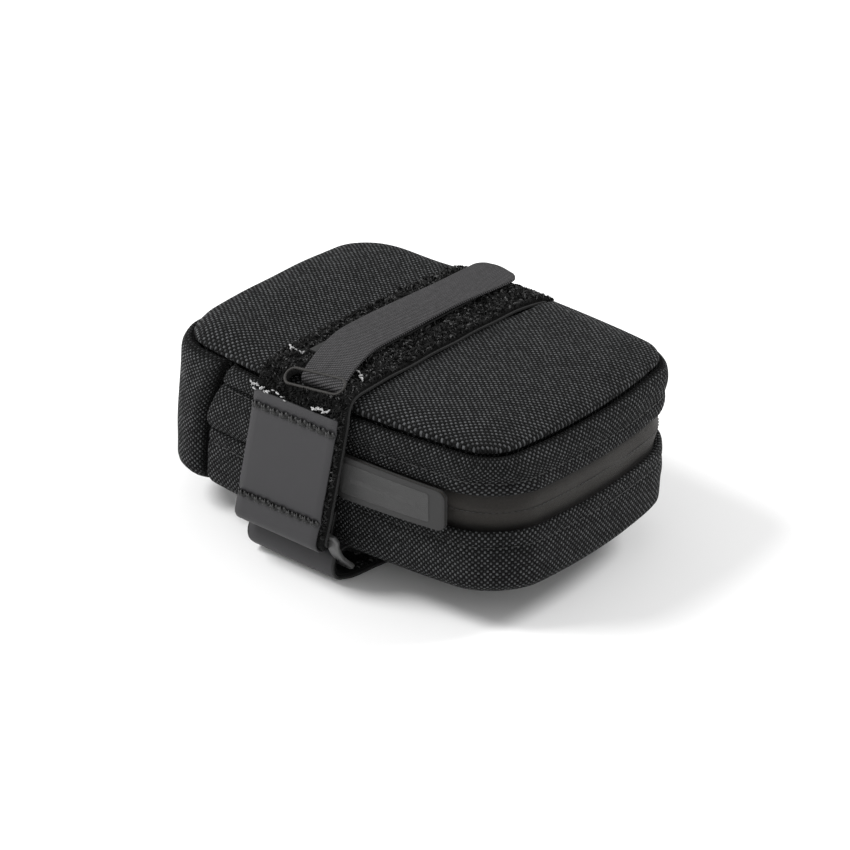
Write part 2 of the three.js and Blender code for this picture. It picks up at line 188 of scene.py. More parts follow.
def closeUp(piece):
    # merges doubled points and turns every face outwards
    bpy.context.view_layer.objects.active = piece
    for other in bpy.context.selected_objects:
        other.select_set(False)
    piece.select_set(True)
    bpy.ops.object.mode_set(mode="EDIT")
    bpy.ops.mesh.select_all(action="SELECT")
    bpy.ops.mesh.remove_doubles(threshold=1e-6)
    bpy.ops.mesh.normals_make_consistent(inside=False)
    bpy.ops.object.mode_set(mode="OBJECT")
    piece.select_set(False)
    return piece


def startMaterial(name):
    # an empty node material with one Principled shader on its output
    material = bpy.data.materials.new(name)
    material.use_nodes = True
    nodes = material.node_tree.nodes
    nodes.clear()
    shader = nodes.new("ShaderNodeBsdfPrincipled")
    out = nodes.new("ShaderNodeOutputMaterial")
    material.node_tree.links.new(shader.outputs[0], out.inputs[0])
    return material, material.node_tree, shader


def feed(tree, socket, value):
    # links an output to a socket, or sets the socket's own value
    if isinstance(value, bpy.types.NodeSocket):
        tree.links.new(value, socket)
    elif value is not None:
        socket.default_value = value


def calc(tree, operation, *values, clamp=False):
    # one Math node on sockets or numbers
    node = tree.nodes.new("ShaderNodeMath")
    node.operation = operation
    node.use_clamp = clamp
    for socket, value in zip(node.inputs, values):
        feed(tree, socket, value)
    return node.outputs[0]


def mixFloat(tree, factor, a, b):
    # a blend of two numbers
    node = tree.nodes.new("ShaderNodeMix")
    feed(tree, node.inputs[0], factor)
    feed(tree, node.inputs[2], a)
    feed(tree, node.inputs[3], b)
    return node.outputs[0]


def mixColor(tree, factor, a, b):
    # a blend of two colours
    node = tree.nodes.new("ShaderNodeMix")
    node.data_type = "RGBA"
    feed(tree, node.inputs[0], factor)
    feed(tree, node.inputs[6], a)
    feed(tree, node.inputs[7], b)
    return node.outputs[2]


def grey(value, warm=0.0):
    # a grey, warmer towards red and cooler towards blue by a share
    return (value * (1 + warm), value, value * (1 - warm), 1)


def noise(tree, vector, scale, detail=2.0):
    # soft noise on a place, at a scale for each millimetre
    node = tree.nodes.new("ShaderNodeTexNoise")
    node.inputs["Scale"].default_value = scale
    node.inputs["Detail"].default_value = detail
    feed(tree, node.inputs["Vector"], vector)
    return node.outputs[0]


def clothPlace(tree):  # the piece's own UV map, in millimetres
    node = tree.nodes.new("ShaderNodeUVMap")
    node.uv_map = "cloth"
    return node.outputs[0]


def solidPlace(tree):  # place in the frame, in millimetres
    coordinates = tree.nodes.new("ShaderNodeTexCoord")
    mapping = tree.nodes.new("ShaderNodeMapping")
    mapping.inputs["Scale"].default_value = (1 / mm,) * 3
    tree.links.new(coordinates.outputs["Object"], mapping.inputs[0])
    return mapping.outputs[0]


def seamShadeFactor(tree):  # painted shade: a factor of 1 on open cloth, down to 0.08 in a sewn crease, from the piece's own attribute
    node = tree.nodes.new("ShaderNodeAttribute")
    node.attribute_name = "seamShade"
    return calc(tree, "MULTIPLY_ADD", node.outputs["Fac"], -0.92, 1.0)


def bump(tree, height, depth):
    # a Bump node whose depth is in millimetres
    node = tree.nodes.new("ShaderNodeBump")
    node.inputs["Distance"].default_value = depth * mm
    node.inputs["Strength"].default_value = 1.0
    tree.links.new(height, node.inputs["Height"])
    return node.outputs[0]


def newGroup(name, inputs, outputs):
    # a shader node group with named inputs and float outputs
    group = bpy.data.node_groups.new(name, "ShaderNodeTree")
    for label, kind, value in inputs:
        socket = group.interface.new_socket(label, in_out="INPUT", socket_type=kind)
        if value is not None:
            socket.default_value = value
    for label in outputs:
        group.interface.new_socket(label, in_out="OUTPUT", socket_type="NodeSocketFloat")
    source = group.nodes.new("NodeGroupInput")
    target = group.nodes.new("NodeGroupOutput")
    return group, source, target


def useGroup(tree, group, **values):
    # the group placed in a material, with its own values
    node = tree.nodes.new("ShaderNodeGroup")
    node.node_tree = group
    for label, value in values.items():
        feed(tree, node.inputs[label], value)
    return node.outputs


def makeWeaveGroup():
    # plain weave: over each crossing either the warp or the weft is on top, like a chequerboard;
    # a thread is round across and humps along, and each crossing has a shade of its own
    group, source, target = newGroup(
        "plainWeave",
        [("Place", "NodeSocketVector", None), ("Across", "NodeSocketFloat", 0.8),
         ("Along", "NodeSocketFloat", 0.9)],
        ["Height", "Warp", "Shade"])
    split = group.nodes.new("ShaderNodeSeparateXYZ")
    group.links.new(source.outputs["Place"], split.inputs[0])
    stray = noise(group, source.outputs["Place"], 0.35)
    wander = calc(group, "MULTIPLY", calc(group, "SUBTRACT", stray, 0.5), 0.5)
    u = calc(group, "DIVIDE", calc(group, "ADD", split.outputs[0], wander), source.outputs["Across"])
    v = calc(group, "DIVIDE", calc(group, "ADD", split.outputs[1], wander), source.outputs["Along"])
    su = calc(group, "SINE", calc(group, "MULTIPLY", u, math.pi))
    sv = calc(group, "SINE", calc(group, "MULTIPLY", v, math.pi))
    au = calc(group, "ABSOLUTE", su)
    av = calc(group, "ABSOLUTE", sv)
    warp = calc(group, "MULTIPLY_ADD", calc(group, "MULTIPLY", su, sv), 5.0, 0.75, clamp=True)
    warpHeight = calc(group, "MULTIPLY", calc(group, "POWER", au, 0.45), calc(group, "POWER", av, 0.4))
    weftHeight = calc(group, "MULTIPLY", calc(group, "POWER", av, 0.7), calc(group, "POWER", au, 0.7))
    height = mixFloat(group, warp, calc(group, "MULTIPLY", weftHeight, 0.85), warpHeight)
    cell = group.nodes.new("ShaderNodeCombineXYZ")
    group.links.new(calc(group, "FLOOR", u), cell.inputs[0])
    group.links.new(calc(group, "FLOOR", v), cell.inputs[1])
    white = group.nodes.new("ShaderNodeTexWhiteNoise")
    group.links.new(cell.outputs[0], white.inputs[0])
    group.links.new(height, target.inputs["Height"])
    group.links.new(warp, target.inputs["Warp"])
    group.links.new(white.outputs["Value"], target.inputs["Shade"])
    return group


def mottle(tree, mask, share, other):
    # two masks added up in their shares, kept between 0 and 1; other is a pair of mask and share
    return calc(tree, "MULTIPLY_ADD", mask, share, calc(tree, "MULTIPLY", *other), clamp=True)


def makeGrainGroup():
    # fine mottling and pits of a coated or moulded skin, with slow blotches of handling
    group, source, target = newGroup(
        "skinGrain", [("Place", "NodeSocketVector", None), ("Size", "NodeSocketFloat", 0.4)],
        ["Grain", "Blotch"])
    scaled = group.nodes.new("ShaderNodeVectorMath")
    scaled.operation = "SCALE"
    group.links.new(source.outputs["Place"], scaled.inputs[0])
    group.links.new(calc(group, "DIVIDE", 1.0, source.outputs["Size"]), scaled.inputs["Scale"])
    group.links.new(noise(group, scaled.outputs[0], 1.0, 3.0), target.inputs["Grain"])
    group.links.new(noise(group, source.outputs["Place"], 0.11, 3.0), target.inputs["Blotch"])
    return group


weaveGroup = makeWeaveGroup()
grainGroup = makeGrainGroup()


def bagCloth(name, across=0.74, along=0.86, dark=0.0003, light=0.076, depth=0.6):
    # coarse woven polyester; its colour holds painted shade, near-black between the threads, and painted
    # glints on the threads that lie on top
    material, tree, shader = startMaterial(name)
    place = clothPlace(tree)
    weave = useGroup(tree, weaveGroup, Place=place, Across=across, Along=along)
    grain = useGroup(tree, grainGroup, Place=place, Size=0.25)
    # painted shade and glints: dark between the threads and bright on the threads on top, the warp far
    # brighter than the weft; each crossing's random shade and the handling blotches are the cloth's own
    # tone
    lift = calc(tree, "POWER", weave["Height"], 1.55)
    lift = calc(tree, "MULTIPLY", lift, calc(tree, "MULTIPLY_ADD", weave["Shade"], 0.9, 0.5))
    lift = calc(tree, "MULTIPLY", lift, mixFloat(tree, weave["Warp"], 0.1, 1.0))
    lift = calc(tree, "MULTIPLY", lift, calc(tree, "MULTIPLY_ADD", grain["Blotch"], 0.8, 0.6), clamp=True)
    # painted shade: darker in the sewn seams' creases
    lift = calc(tree, "MULTIPLY", lift, seamShadeFactor(tree))
    feed(tree, shader.inputs["Base Color"], mixColor(tree, lift, grey(dark, -0.02), grey(light, -0.03)))
    feed(tree, shader.inputs["Roughness"], mixFloat(tree, lift, 0.9, 0.38))
    height = calc(tree, "MULTIPLY_ADD", grain["Grain"], 0.16, weave["Height"])
    feed(tree, shader.inputs["Normal"], bump(tree, height, depth))
    shader.inputs["Specular IOR Level"].default_value = 0.12
    return material


def foamBoard():
    # open foam of the stiffening boards
    material, tree, shader = startMaterial("foamBoard")
    grain = useGroup(tree, grainGroup, Place=solidPlace(tree), Size=0.5)
    feed(tree, shader.inputs["Base Color"], mixColor(tree, grain["Grain"], grey(0.02), grey(0.07)))
    feed(tree, shader.inputs["Normal"], bump(tree, grain["Grain"], 0.3))
    shader.inputs["Roughness"].default_value = 0.9
    return material


def zipTapeCloth():
    # fine twill with a satin coating; the join of the two tapes is a row of fine dashes
    material, tree, shader = startMaterial("zipTapeCloth")
    place = clothPlace(tree)
    weave = useGroup(tree, weaveGroup, Place=place, Across=0.3, Along=0.22)
    grain = useGroup(tree, grainGroup, Place=place, Size=0.6)
    lift = calc(tree, "MULTIPLY", weave["Height"], calc(tree, "MULTIPLY_ADD", grain["Grain"], 0.7, 0.4),
                clamp=True)
    # painted shadow on the tape under the bands' edges, from the piece's own attribute
    lift = calc(tree, "MULTIPLY", lift, seamShadeFactor(tree))
    feed(tree, shader.inputs["Base Color"], mixColor(tree, lift, grey(0.004, 0.1), grey(0.042, 0.13)))
    feed(tree, shader.inputs["Roughness"], mixFloat(tree, grain["Blotch"], 0.5, 0.68))
    height = calc(tree, "MULTIPLY_ADD", grain["Grain"], 1.2, weave["Height"])
    feed(tree, shader.inputs["Normal"], bump(tree, height, 0.14))
    shader.inputs["Specular IOR Level"].default_value = 0.3
    return material


def plainPlastic(name, shade, rough, warm=0.0, metallic=0.0, size=0.5, depth=0.02):
    # a moulded or metal skin: faint mottling, and blotches that change its gloss
    material, tree, shader = startMaterial(name)
    grain = useGroup(tree, grainGroup, Place=solidPlace(tree), Size=size)
    tone = mottle(tree, grain["Blotch"], 0.6, (grain["Grain"], 0.3))
    feed(tree, shader.inputs["Base Color"],
         mixColor(tree, tone, grey(shade * 0.7, warm), grey(shade * 1.3, warm)))
    feed(tree, shader.inputs["Roughness"], mixFloat(tree, grain["Blotch"], rough - 0.07, rough + 0.09))
    feed(tree, shader.inputs["Normal"], bump(tree, grain["Grain"], depth))
    shader.inputs["Metallic"].default_value = metallic
    shader.inputs["Specular IOR Level"].default_value = 0.3
    return material


def pileGround():
    # the knitted ground that the loops stand on
    material, tree, shader = startMaterial("pileGround")
    place = clothPlace(tree)
    clumps = noise(tree, place, 1.3, 3.0)
    feed(tree, shader.inputs["Base Color"], mixColor(tree, clumps, grey(0.001), grey(0.006)))
    feed(tree, shader.inputs["Normal"], bump(tree, clumps, 0.7))
    shader.inputs["Specular IOR Level"].default_value = 0.15
    shader.inputs["Roughness"].default_value = 0.95
    return material


def loopThread():
    # shiny black yarn of the pile, darker deep down between the loops
    material, tree, shader = startMaterial("loopThread")
    place = solidPlace(tree)
    shade = calc(tree, "POWER", noise(tree, place, 0.9, 3.0), 3.0)
    feed(tree, shader.inputs["Base Color"], mixColor(tree, shade, grey(0.0008), grey(0.05)))
    feed(tree, shader.inputs["Normal"], bump(tree, noise(tree, place, 6.0), 0.05))
    shader.inputs["Roughness"].default_value = 0.42
    shader.inputs["Specular IOR Level"].default_value = 0.25
    return material


def coatedCloth():
    # smooth coated cloth: even satin grey with a faint orange-peel
    material, tree, shader = startMaterial("coatedCloth")
    grain = useGroup(tree, grainGroup, Place=clothPlace(tree), Size=0.3)
    tone = mottle(tree, grain["Grain"], 0.35, (grain["Blotch"], 0.6))
    feed(tree, shader.inputs["Base Color"],
         mixColor(tree, tone, (0.0225, 0.022, 0.0238, 1), (0.0365, 0.0357, 0.038, 1)))
    feed(tree, shader.inputs["Roughness"], mixFloat(tree, grain["Blotch"], 0.5, 0.64))
    feed(tree, shader.inputs["Normal"], bump(tree, grain["Grain"], 0.03))
    shader.inputs["Specular IOR Level"].default_value = 0.3
    return material


def ribbonCloth():
    # fine grosgrain: ribs that cross the ribbon at a slant, each made of short stitches
    material, tree, shader = startMaterial("ribbonCloth")
    place = clothPlace(tree)
    split = tree.nodes.new("ShaderNodeSeparateXYZ")
    tree.links.new(place, split.inputs[0])
    slant = calc(tree, "MULTIPLY_ADD", split.outputs[1], 0.42, split.outputs[0])
    rib = calc(tree, "SINE", calc(tree, "MULTIPLY", slant, math.pi / 0.85))
    rib = calc(tree, "ABSOLUTE", rib)
    stitch = calc(tree, "SINE", calc(tree, "MULTIPLY", split.outputs[1], math.pi / 0.66))
    stitch = calc(tree, "ABSOLUTE", stitch)
    height = calc(tree, "MULTIPLY", calc(tree, "MULTIPLY_ADD", stitch, 0.75, 0.45), rib)
    blotch = noise(tree, place, 0.5)
    lift = calc(tree, "MULTIPLY", calc(tree, "POWER", calc(tree, "MULTIPLY", height, 0.8), 1.6), 1.1)
    lift = calc(tree, "MULTIPLY", lift, calc(tree, "ADD", blotch, 0.4), clamp=True)
    feed(tree, shader.inputs["Base Color"],
         mixColor(tree, lift, grey(0.0005, 0.03), (0.068, 0.065, 0.069, 1)))
    feed(tree, shader.inputs["Normal"], bump(tree, height, 0.2))
    feed(tree, shader.inputs["Roughness"], mixFloat(tree, rib, 0.7, 0.5))
    shader.inputs["Specular IOR Level"].default_value = 0.3
    return material


def pullPanel():
    # the recessed face of the pull: rows of tiny dots
    material, tree, shader = startMaterial("pullPanel")
    weave = useGroup(tree, weaveGroup, Place=clothPlace(tree), Across=0.35, Along=0.35)
    grain = useGroup(tree, grainGroup, Place=clothPlace(tree), Size=0.5)
    tone = mottle(tree, weave["Height"], 0.35, (grain["Blotch"], 0.6))
    feed(tree, shader.inputs["Base Color"], mixColor(tree, tone, grey(0.014), grey(0.046)))
    feed(tree, shader.inputs["Normal"], bump(tree, weave["Height"], 0.05))
    shader.inputs["Roughness"].default_value = 0.5
    return material


def threadMaterial(name, shade):
    # twisted sewing thread
    material, tree, shader = startMaterial(name)
    strands = noise(tree, solidPlace(tree), 3.0, 3.0)
    feed(tree, shader.inputs["Base Color"], mixColor(tree, strands, grey(shade * 0.45), grey(shade * 1.5)))
    feed(tree, shader.inputs["Normal"], bump(tree, strands, 0.12))
    shader.inputs["Roughness"].default_value = 0.55
    return material


cloth = bagCloth("bagCloth")
topCloth = bagCloth("topCloth", across=0.70, along=0.95, light=0.082)
foam = foamBoard()
tapeCloth = zipTapeCloth()
nylon = plainPlastic("nylonTeeth", 0.03, 0.45)
ground = pileGround()
loops = loopThread()
coated = coatedCloth()
edgeCloth = plainPlastic("strapEdge", 0.018, 0.7, size=0.3, depth=0.05)
grosgrain = ribbonCloth()
darkMetal = plainPlastic("darkMetal", 0.11, 0.38, metallic=0.6)
rubber = plainPlastic("pullRubber", 0.025, 0.5)
rubberPanel = pullPanel()
copperLine = plainPlastic("bondLine", 0.05, 0.4, warm=0.35)
bindingCloth = plainPlastic("slotBinding", 0.018, 0.6, warm=0.08, size=0.3, depth=0.08)
darkThread = threadMaterial("darkThread", 0.014)
paleThread = threadMaterial("paleThread", 0.42)
hookPlastic = plainPlastic("hookPlastic", 0.02, 0.5)
print("materials made")


plan = {
    "halfLength": 59.5, "halfWidth": 39.6, "rearCorner": 12.5, "frontCorner": 14.7, "rearFlare": 5.8,
    "sideBow": 4.8, "frontBow": 4.3, "rearBow": 1.3, "seamHeight": 45.0,
    "frontCornerTop": 8.5, "frontLean": 1.5, "sideSpread": 0.7,
}


def planPoint(t, inset, z):
    # t runs from 0 to 1 round the bag: rear middle, near side, front middle at 0.5, far side, rear.
    # A rounded box drawn in by inset, whose sides and ends then bulge as parabolas.
    p = plan
    t, inset, z = np.broadcast_arrays(np.asarray(t, float), inset, z)
    t = t % 1.0
    mirror = t > 0.5
    h = np.where(mirror, 1 - t, t) * 2 * halfRun
    rear = -p["halfLength"] - p["rearFlare"] * (1 - z / p["seamHeight"]) + inset
    high = smooth(z, 30, 44)
    front = p["halfLength"] - inset - p["frontLean"] * high
    side = p["halfWidth"] - inset + p["sideSpread"] * high
    rearR = np.maximum(p["rearCorner"] - inset / 2, 1)
    frontR = np.maximum(p["frontCorner"] + (p["frontCornerTop"] - p["frontCorner"]) * high - inset / 2, 1)
    parts = [np.clip((h - start) / (stop - start), 0, 1) for start, stop in zip(runMarks, runMarks[1:])]
    rearTurn, frontTurn = parts[1] * math.pi / 2, parts[3] * math.pi / 2
    straight = front - frontR - rear - rearR
    x = rear + rearR * (1 - np.cos(rearTurn)) + parts[2] * straight + frontR * np.sin(frontTurn)
    y = parts[0] * (side - rearR) + rearR * np.sin(rearTurn) - frontR * (1 - np.cos(frontTurn))
    y = y - parts[4] * (side - frontR)
    middle, half = (rear + front) / 2, (front - rear) / 2
    u, v = (x - middle) / half, y / side
    x = x + np.where(u > 0, p["frontBow"], p["rearBow"]) * u * (1 - v * v)
    y = y + p["sideBow"] * v * (1 - u * u)
    return np.stack([x, np.where(mirror, y, -y), z + 0 * x], -1)


quarter = math.pi / 2
runParts = [
    plan["halfWidth"] - plan["rearCorner"], plan["rearCorner"] * quarter,
    2 * plan["halfLength"] - plan["rearCorner"] - plan["frontCorner"], plan["frontCorner"] * quarter,
    plan["halfWidth"] - plan["frontCorner"],
]
runMarks = np.concatenate([[0], np.cumsum(runParts)])
halfRun = runMarks[-1]  # length of half the outline
wholeRun = 2 * halfRun


def tAtX(x, z):  # where the near side's line passes x
    rear = -plan["halfLength"] - plan["rearFlare"] * (1 - z / plan["seamHeight"])
    start, stop = rear + plan["rearCorner"], plan["halfLength"] - plan["frontCorner"]
    share = (x - start) / (stop - start)
    return (runMarks[2] + share * runParts[2]) / wholeRun


def endSeamX(z):  # the slanting seam of the end panel, on both sides
    heights = [-2, 0, 8.6, 18, 24, 35.5, 46]
    places = [-48.6, -48.4, -47.4, -46.0, -44.6, -39.9, -34.8]
    return np.interp(z, heights, places)


def ripple(t, z, depth, seed=0.0):
    # slow unevenness of sewn cloth, a sum of three waves
    a = t * wholeRun
    wave = np.sin(a * 0.31 + z * 0.17 + seed) + 0.7 * np.sin(a * 0.147 - z * 0.29 + 2 * seed)
    return depth * (wave + 0.5 * np.sin(a * 0.73 + z * 0.41 + 3 * seed)) / 2.2


def rollIn(distance, radius, depth):
    # a panel's edge turning in to its seam: a quarter round over radius, then a drop of depth
    d = np.clip(distance / radius, 0, 1)
    return depth * (1 - np.sqrt(np.clip(1 - (1 - d) ** 2, 0, 1)))


def clustered(count):  # 0 to 1, closer together at both ends
    return 0.5 - 0.5 * np.cos(np.linspace(0, math.pi, count))


def addSeamShade(piece, heights=(43.2,), shadowUnderBands=False):
    # painted shade: how deep each point lies in a sewn crease, near the end panel's seam or near a height
    # of a seam, for the cloth's colour to darken there
    flat = np.empty(len(piece.data.vertices) * 3)
    piece.data.vertices.foreach_get("co", flat)
    x, y, z = (flat.reshape(-1, 3) / mm).T
    z = z - standHeight
    seamShade = (1 - smooth(np.abs(x - endSeamX(z)), 0.2, 1.5)) * (np.abs(y) > 20) * (z < 43.2)
    for height in heights:
        seamShade = np.maximum(seamShade, 1 - smooth(np.abs(z - height), 0.1, 0.8))
    # painted shadow on the zip tape along the edges of the bands that overhang it
    if shadowUnderBands:
        seamShade = np.maximum(seamShade, 0.9 * smooth(np.abs(z - 26), 2.8, 5.8))
    layer = piece.data.attributes.new("seamShade", "FLOAT", "POINT")
    layer.data.foreach_set("value", seamShade.astype(np.float32))
    return piece


def ringPanel(name, profile, tFrom, tTo, stations, material, shape=None):
    # a strip of the bag's wall: a closed profile of (inset, z) carried along the outline from tFrom(z)
    # to tTo(z); shape adds an inset at each point from t, z, the distance to the nearer end and the profile
    s = clustered(stations)[:, None]
    inset, z = profile[None, :, 0], profile[None, :, 1]
    a, b = tFrom(z), tTo(z)
    t = a + s * (b - a)
    distance = np.minimum(s, 1 - s) * (b - a) * wholeRun
    extra = 0 if shape is None else shape(t, z, distance, inset)
    rings = planPoint(t, inset + extra, z + 0 * t)
    return sweep(name, rings, [material])


def lidRings(rows):
    # a lid of the bag: rows of (inset, shrink, height) from the middle of one face, round the rim, to the
    # middle of the other; shrink pulls a ring towards the lid's middle
    t = np.linspace(0, 1, lid["around"], endpoint=False)
    inset, shrink, z = (rows[:, k][:, None] for k in range(3))
    rings = planPoint(t[None, :], inset, z)
    middle = np.array([lid["middleX"], 0])
    rings[..., :2] = middle + (rings[..., :2] - middle) * shrink[..., None]
    return rings


lid = {"around": 240, "middleX": -3.0, "wall": 1.8}


def finishLid(name, rings, material):
    # closes the lid at its two middles; its cloth lies flat, with the warp along y
    rows, columns = rings.shape[:2]
    verts = np.concatenate([rings.reshape(-1, 3), rings[[0, -1]].mean(1)])
    faces = closedFaces(rows, columns)
    uv = verts[np.maximum(faces, 0)][:, :, [1, 0]]
    return closeUp(makePiece(name, verts, faces, [material], uv))


def puff(low, high, spacing, isHeld, cap):
    # a flat sheet over the area from low to high, held where isHeld says, and blown up by a little
    # pressure; gives a function of two flat coordinates: the sheet's height there, scaled to reach cap
    a = np.arange(low[0], high[0] + spacing / 2, spacing)
    b = np.arange(low[1], high[1] + spacing / 2, spacing)
    flatA, flatB = np.meshgrid(a, b, indexing="ij")
    mesh = bpy.data.meshes.new("puffSheet")
    verts = np.stack([flatA, flatB, 0 * flatA], -1).reshape(-1, 3) * mm
    faces = gridFaces(len(a), len(b), False)
    mesh.from_pydata(verts.tolist(), [], faces.tolist())
    sheet = bpy.data.objects.new("puffSheet", mesh)
    bpy.context.scene.collection.objects.link(sheet)
    group = sheet.vertex_groups.new(name="held")
    group.add(np.flatnonzero(isHeld(flatA, flatB).ravel()).tolist(), 1.0, "REPLACE")
    clothing = sheet.modifiers.new("cloth", "CLOTH")
    settings = clothing.settings
    settings.vertex_group_mass = "held"
    settings.use_pressure = True
    settings.uniform_pressure_force = 4.0
    settings.effector_weights.gravity = 0
    settings.quality = 6
    clothing.point_cache.frame_end = 20
    for number in range(1, 21):
        bpy.context.scene.frame_set(number)
    held = sheet.evaluated_get(bpy.context.evaluated_depsgraph_get())
    flat = np.empty(len(verts) * 3)
    held.data.vertices.foreach_get("co", flat)
    rise = np.abs(flat.reshape(len(a), len(b), 3)[..., 2])
    bpy.data.objects.remove(sheet)
    bpy.context.scene.frame_set(1)
    rise = rise * cap / max(rise.max(), 1e-9)

    def at(x, y):
        u = np.clip((x - a[0]) / spacing, 0, len(a) - 1.001)
        v = np.clip((y - b[0]) / spacing, 0, len(b) - 1.001)
        i, j = u.astype(int), v.astype(int)
        fu, fv = u - i, v - j
        near = rise[i, j] * (1 - fv) + rise[i, j + 1] * fv
        return near * (1 - fu) + (rise[i + 1, j] * (1 - fv) + rise[i + 1, j + 1] * fv) * fu

    return at


topShape = {"puff": 2.0, "rearRise": 1.5, "strapRear": -20.5, "strapFront": 12.5, "spacing": 2.5}


def topIsHeld(x, y):  # outside the seam, a superellipse, and everywhere under the strap
    u = (x + 3) / 59
    v = y / (35.5 + plan["sideBow"] * (1 - u * u))
    return (u**6 + v**6 > 1) | ((x > topShape["strapRear"]) & (x < topShape["strapFront"]))


def makeTopPanel():
    # the padded lid: its outer face is lifted by the blown-up sheet and pressed under the strap
    seam = plan["seamHeight"]
    inner = [(14, 0.7), (9, 0.5), (7.0, -0.3), (6.0, -2.0), (5.6, -4.0), (5.3, -5.4)]
    outer = [(4.5, -5.4), (4.3, -3.8), (3.9, -2.6), (3.0, -1.9), (2.3, -1.2), (2.15, -0.5), (2.7, 0.4),
             (4.2, 1.3), (7.0, 2.0), (10, 2.4), (14, 2.5)]
    edge = splinePath(np.array(inner + outer) + [0, seam], 60)
    shrinks = np.linspace(0.04, 1, 16)[:, None]
    under = np.hstack([14 + 0 * shrinks, shrinks, seam + 0.7 + 0 * shrinks])[:-1]
    over = np.hstack([14 + 0 * shrinks, shrinks, seam + 2.55 + 0.1 * (1 - shrinks**2)])[::-1][1:]
    rows = np.vstack([under, np.insert(edge, 1, 1, axis=1), over])
    rings = lidRings(rows)
    x, y, z = rings[..., 0], rings[..., 1], rings[..., 2]
    share = smooth(z, seam + 0.3, seam + 2.2)  # only the outer face puffs, not its edge
    q = topShape
    puffed = puff((-65, -45), (65, 45), q["spacing"], topIsHeld, q["puff"])
    pressed = smooth(x, q["strapRear"] - 2, q["strapRear"] + 2)
    pressed = pressed * (1 - smooth(x, q["strapFront"] - 2, q["strapFront"] + 2))
    pressed = pressed * (0.15 + 2.6 * smooth(y, 14, 38))  # the strap bears down on the far edge
    lift = puffed(x, y) - pressed + q["rearRise"] * smooth(-x, 24, 44)
    wave = 0.10 * (np.sin(x * 0.23 + y * 0.11) + np.sin(y * 0.27 - x * 0.08 + 1))
    rings[..., 2] = z + share * (lift + wave * (1 - pressed))
    piece = finishLid("topPanel", rings, topCloth)
    addSeamShade(piece)
    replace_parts(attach(piece, "root"), "top_panel")


band = {
    "stations": 380, "seamGap": 0.85, "edgeRadius": 3.2, "edgeDepth": 3.2,
    "mouthFrom": 0.0, "mouthTo": 24.0,
}


def seamT(z):  # where the end panel's seam crosses the near side
    return tAtX(endSeamX(z), z)


sideRun = {"from": -47.0, "length": 91.0}


def alongSide(t):  # about how far along the bag t lies, the same on both sides
    near = np.minimum(t % 1.0, 1 - t % 1.0)
    return (near * wholeRun - runMarks[2]) / runParts[2] * sideRun["length"] + sideRun["from"]


def strapShade(t):  # 1 behind the strap towards the seat post end, on both sides, and 0 in front of it
    return 1 - smooth(alongSide(t), -13, -8)


def underStrap(t):  # 1 where the strap bears on the side
    x = alongSide(t)
    return smooth(x, -24, -18) * (1 - smooth(x, 10, 16))


def onMouth(piece):
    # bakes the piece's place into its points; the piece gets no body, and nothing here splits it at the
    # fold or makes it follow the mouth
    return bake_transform(piece)


def makeUpperBand():
    # the strip over the zip, from one end seam round the front to the other
    profile = splinePath(np.array([
        (3.9, 40.9), (3.2, 41.8), (2.4, 42.7), (1.6, 43.0), (0.8, 42.6), (0.15, 41.6), (-0.2, 40.2),
        (-0.3, 38.4), (-0.05, 36.6), (0.22, 35.6), (-0.1, 34.6), (-0.25, 33.2), (-0.05, 31.9), (0.6, 31.3),
        (1.3, 31.5), (1.75, 32.6), (1.9, 35.5), (2.1, 38.6), (3.4, 40.4)]), 76, closed=True)

    def shape(t, z, distance, inset):
        tuck = 1.5 * strapShade(t) * (1 - smooth(z, 36.2, 37.6))
        tuck += 2.2 * (t > 0.5) * smooth(z, 34, 42) * underStrap(t)
        return rollIn(distance, band["edgeRadius"], band["edgeDepth"]) + tuck + ripple(t, z, 0.12)

    gapT = band["seamGap"] / wholeRun
    piece = ringPanel("upperBand", profile, lambda z: seamT(z) + gapT, lambda z: 1 - seamT(z) - gapT,
                      band["stations"], cloth, shape)
    addSeamShade(piece)
    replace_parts(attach(piece, "root"), "upper_band")


def makeGusset(side, sign):
    # the puffed side piece between the end panel and the zip's start
    profile = splinePath(np.array([
        (2.6, 36.6), (2.0, 36.7), (1.1, 36.1), (0.1, 34.8), (-0.7, 32.5), (-1.2, 29.5), (-1.35, 26.5),
        (-1.2, 24), (-0.6, 21.9), (0.4, 20.5), (1.5, 19.8), (2.5, 20.2), (2.9, 24), (2.9, 31),
    ]), 56, closed=True)
    gapT = band["seamGap"] / wholeRun

    def shape(t, z, distance, inset):
        return rollIn(distance, 2.6, 2.6) + ripple(t, z, 0.2, 2.0)

    frontT = float(tAtX(-6.0, 26.0))
    if sign < 0:
        limits = (lambda z: seamT(z) + gapT, lambda z: frontT + 0 * z)
    else:
        limits = (lambda z: 1 - frontT + 0 * z, lambda z: 1 - seamT(z) - gapT)
    piece = ringPanel("gusset_" + side, profile, *limits, 70, cloth, shape)
    addSeamShade(piece, (36.6, 20.1))
    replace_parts(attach(piece, "root"), "side_gusset_" + side)


def bottomArc(inset, count=7):
    # the rounded bottom edge, inset from the wall's face: points on an arc from the side to the bottom
    r = 5.8 - inset
    a = np.radians(np.linspace(12, 90, count))
    return [(5.8 - r * math.cos(k), 5.8 - r * math.sin(k)) for k in a]


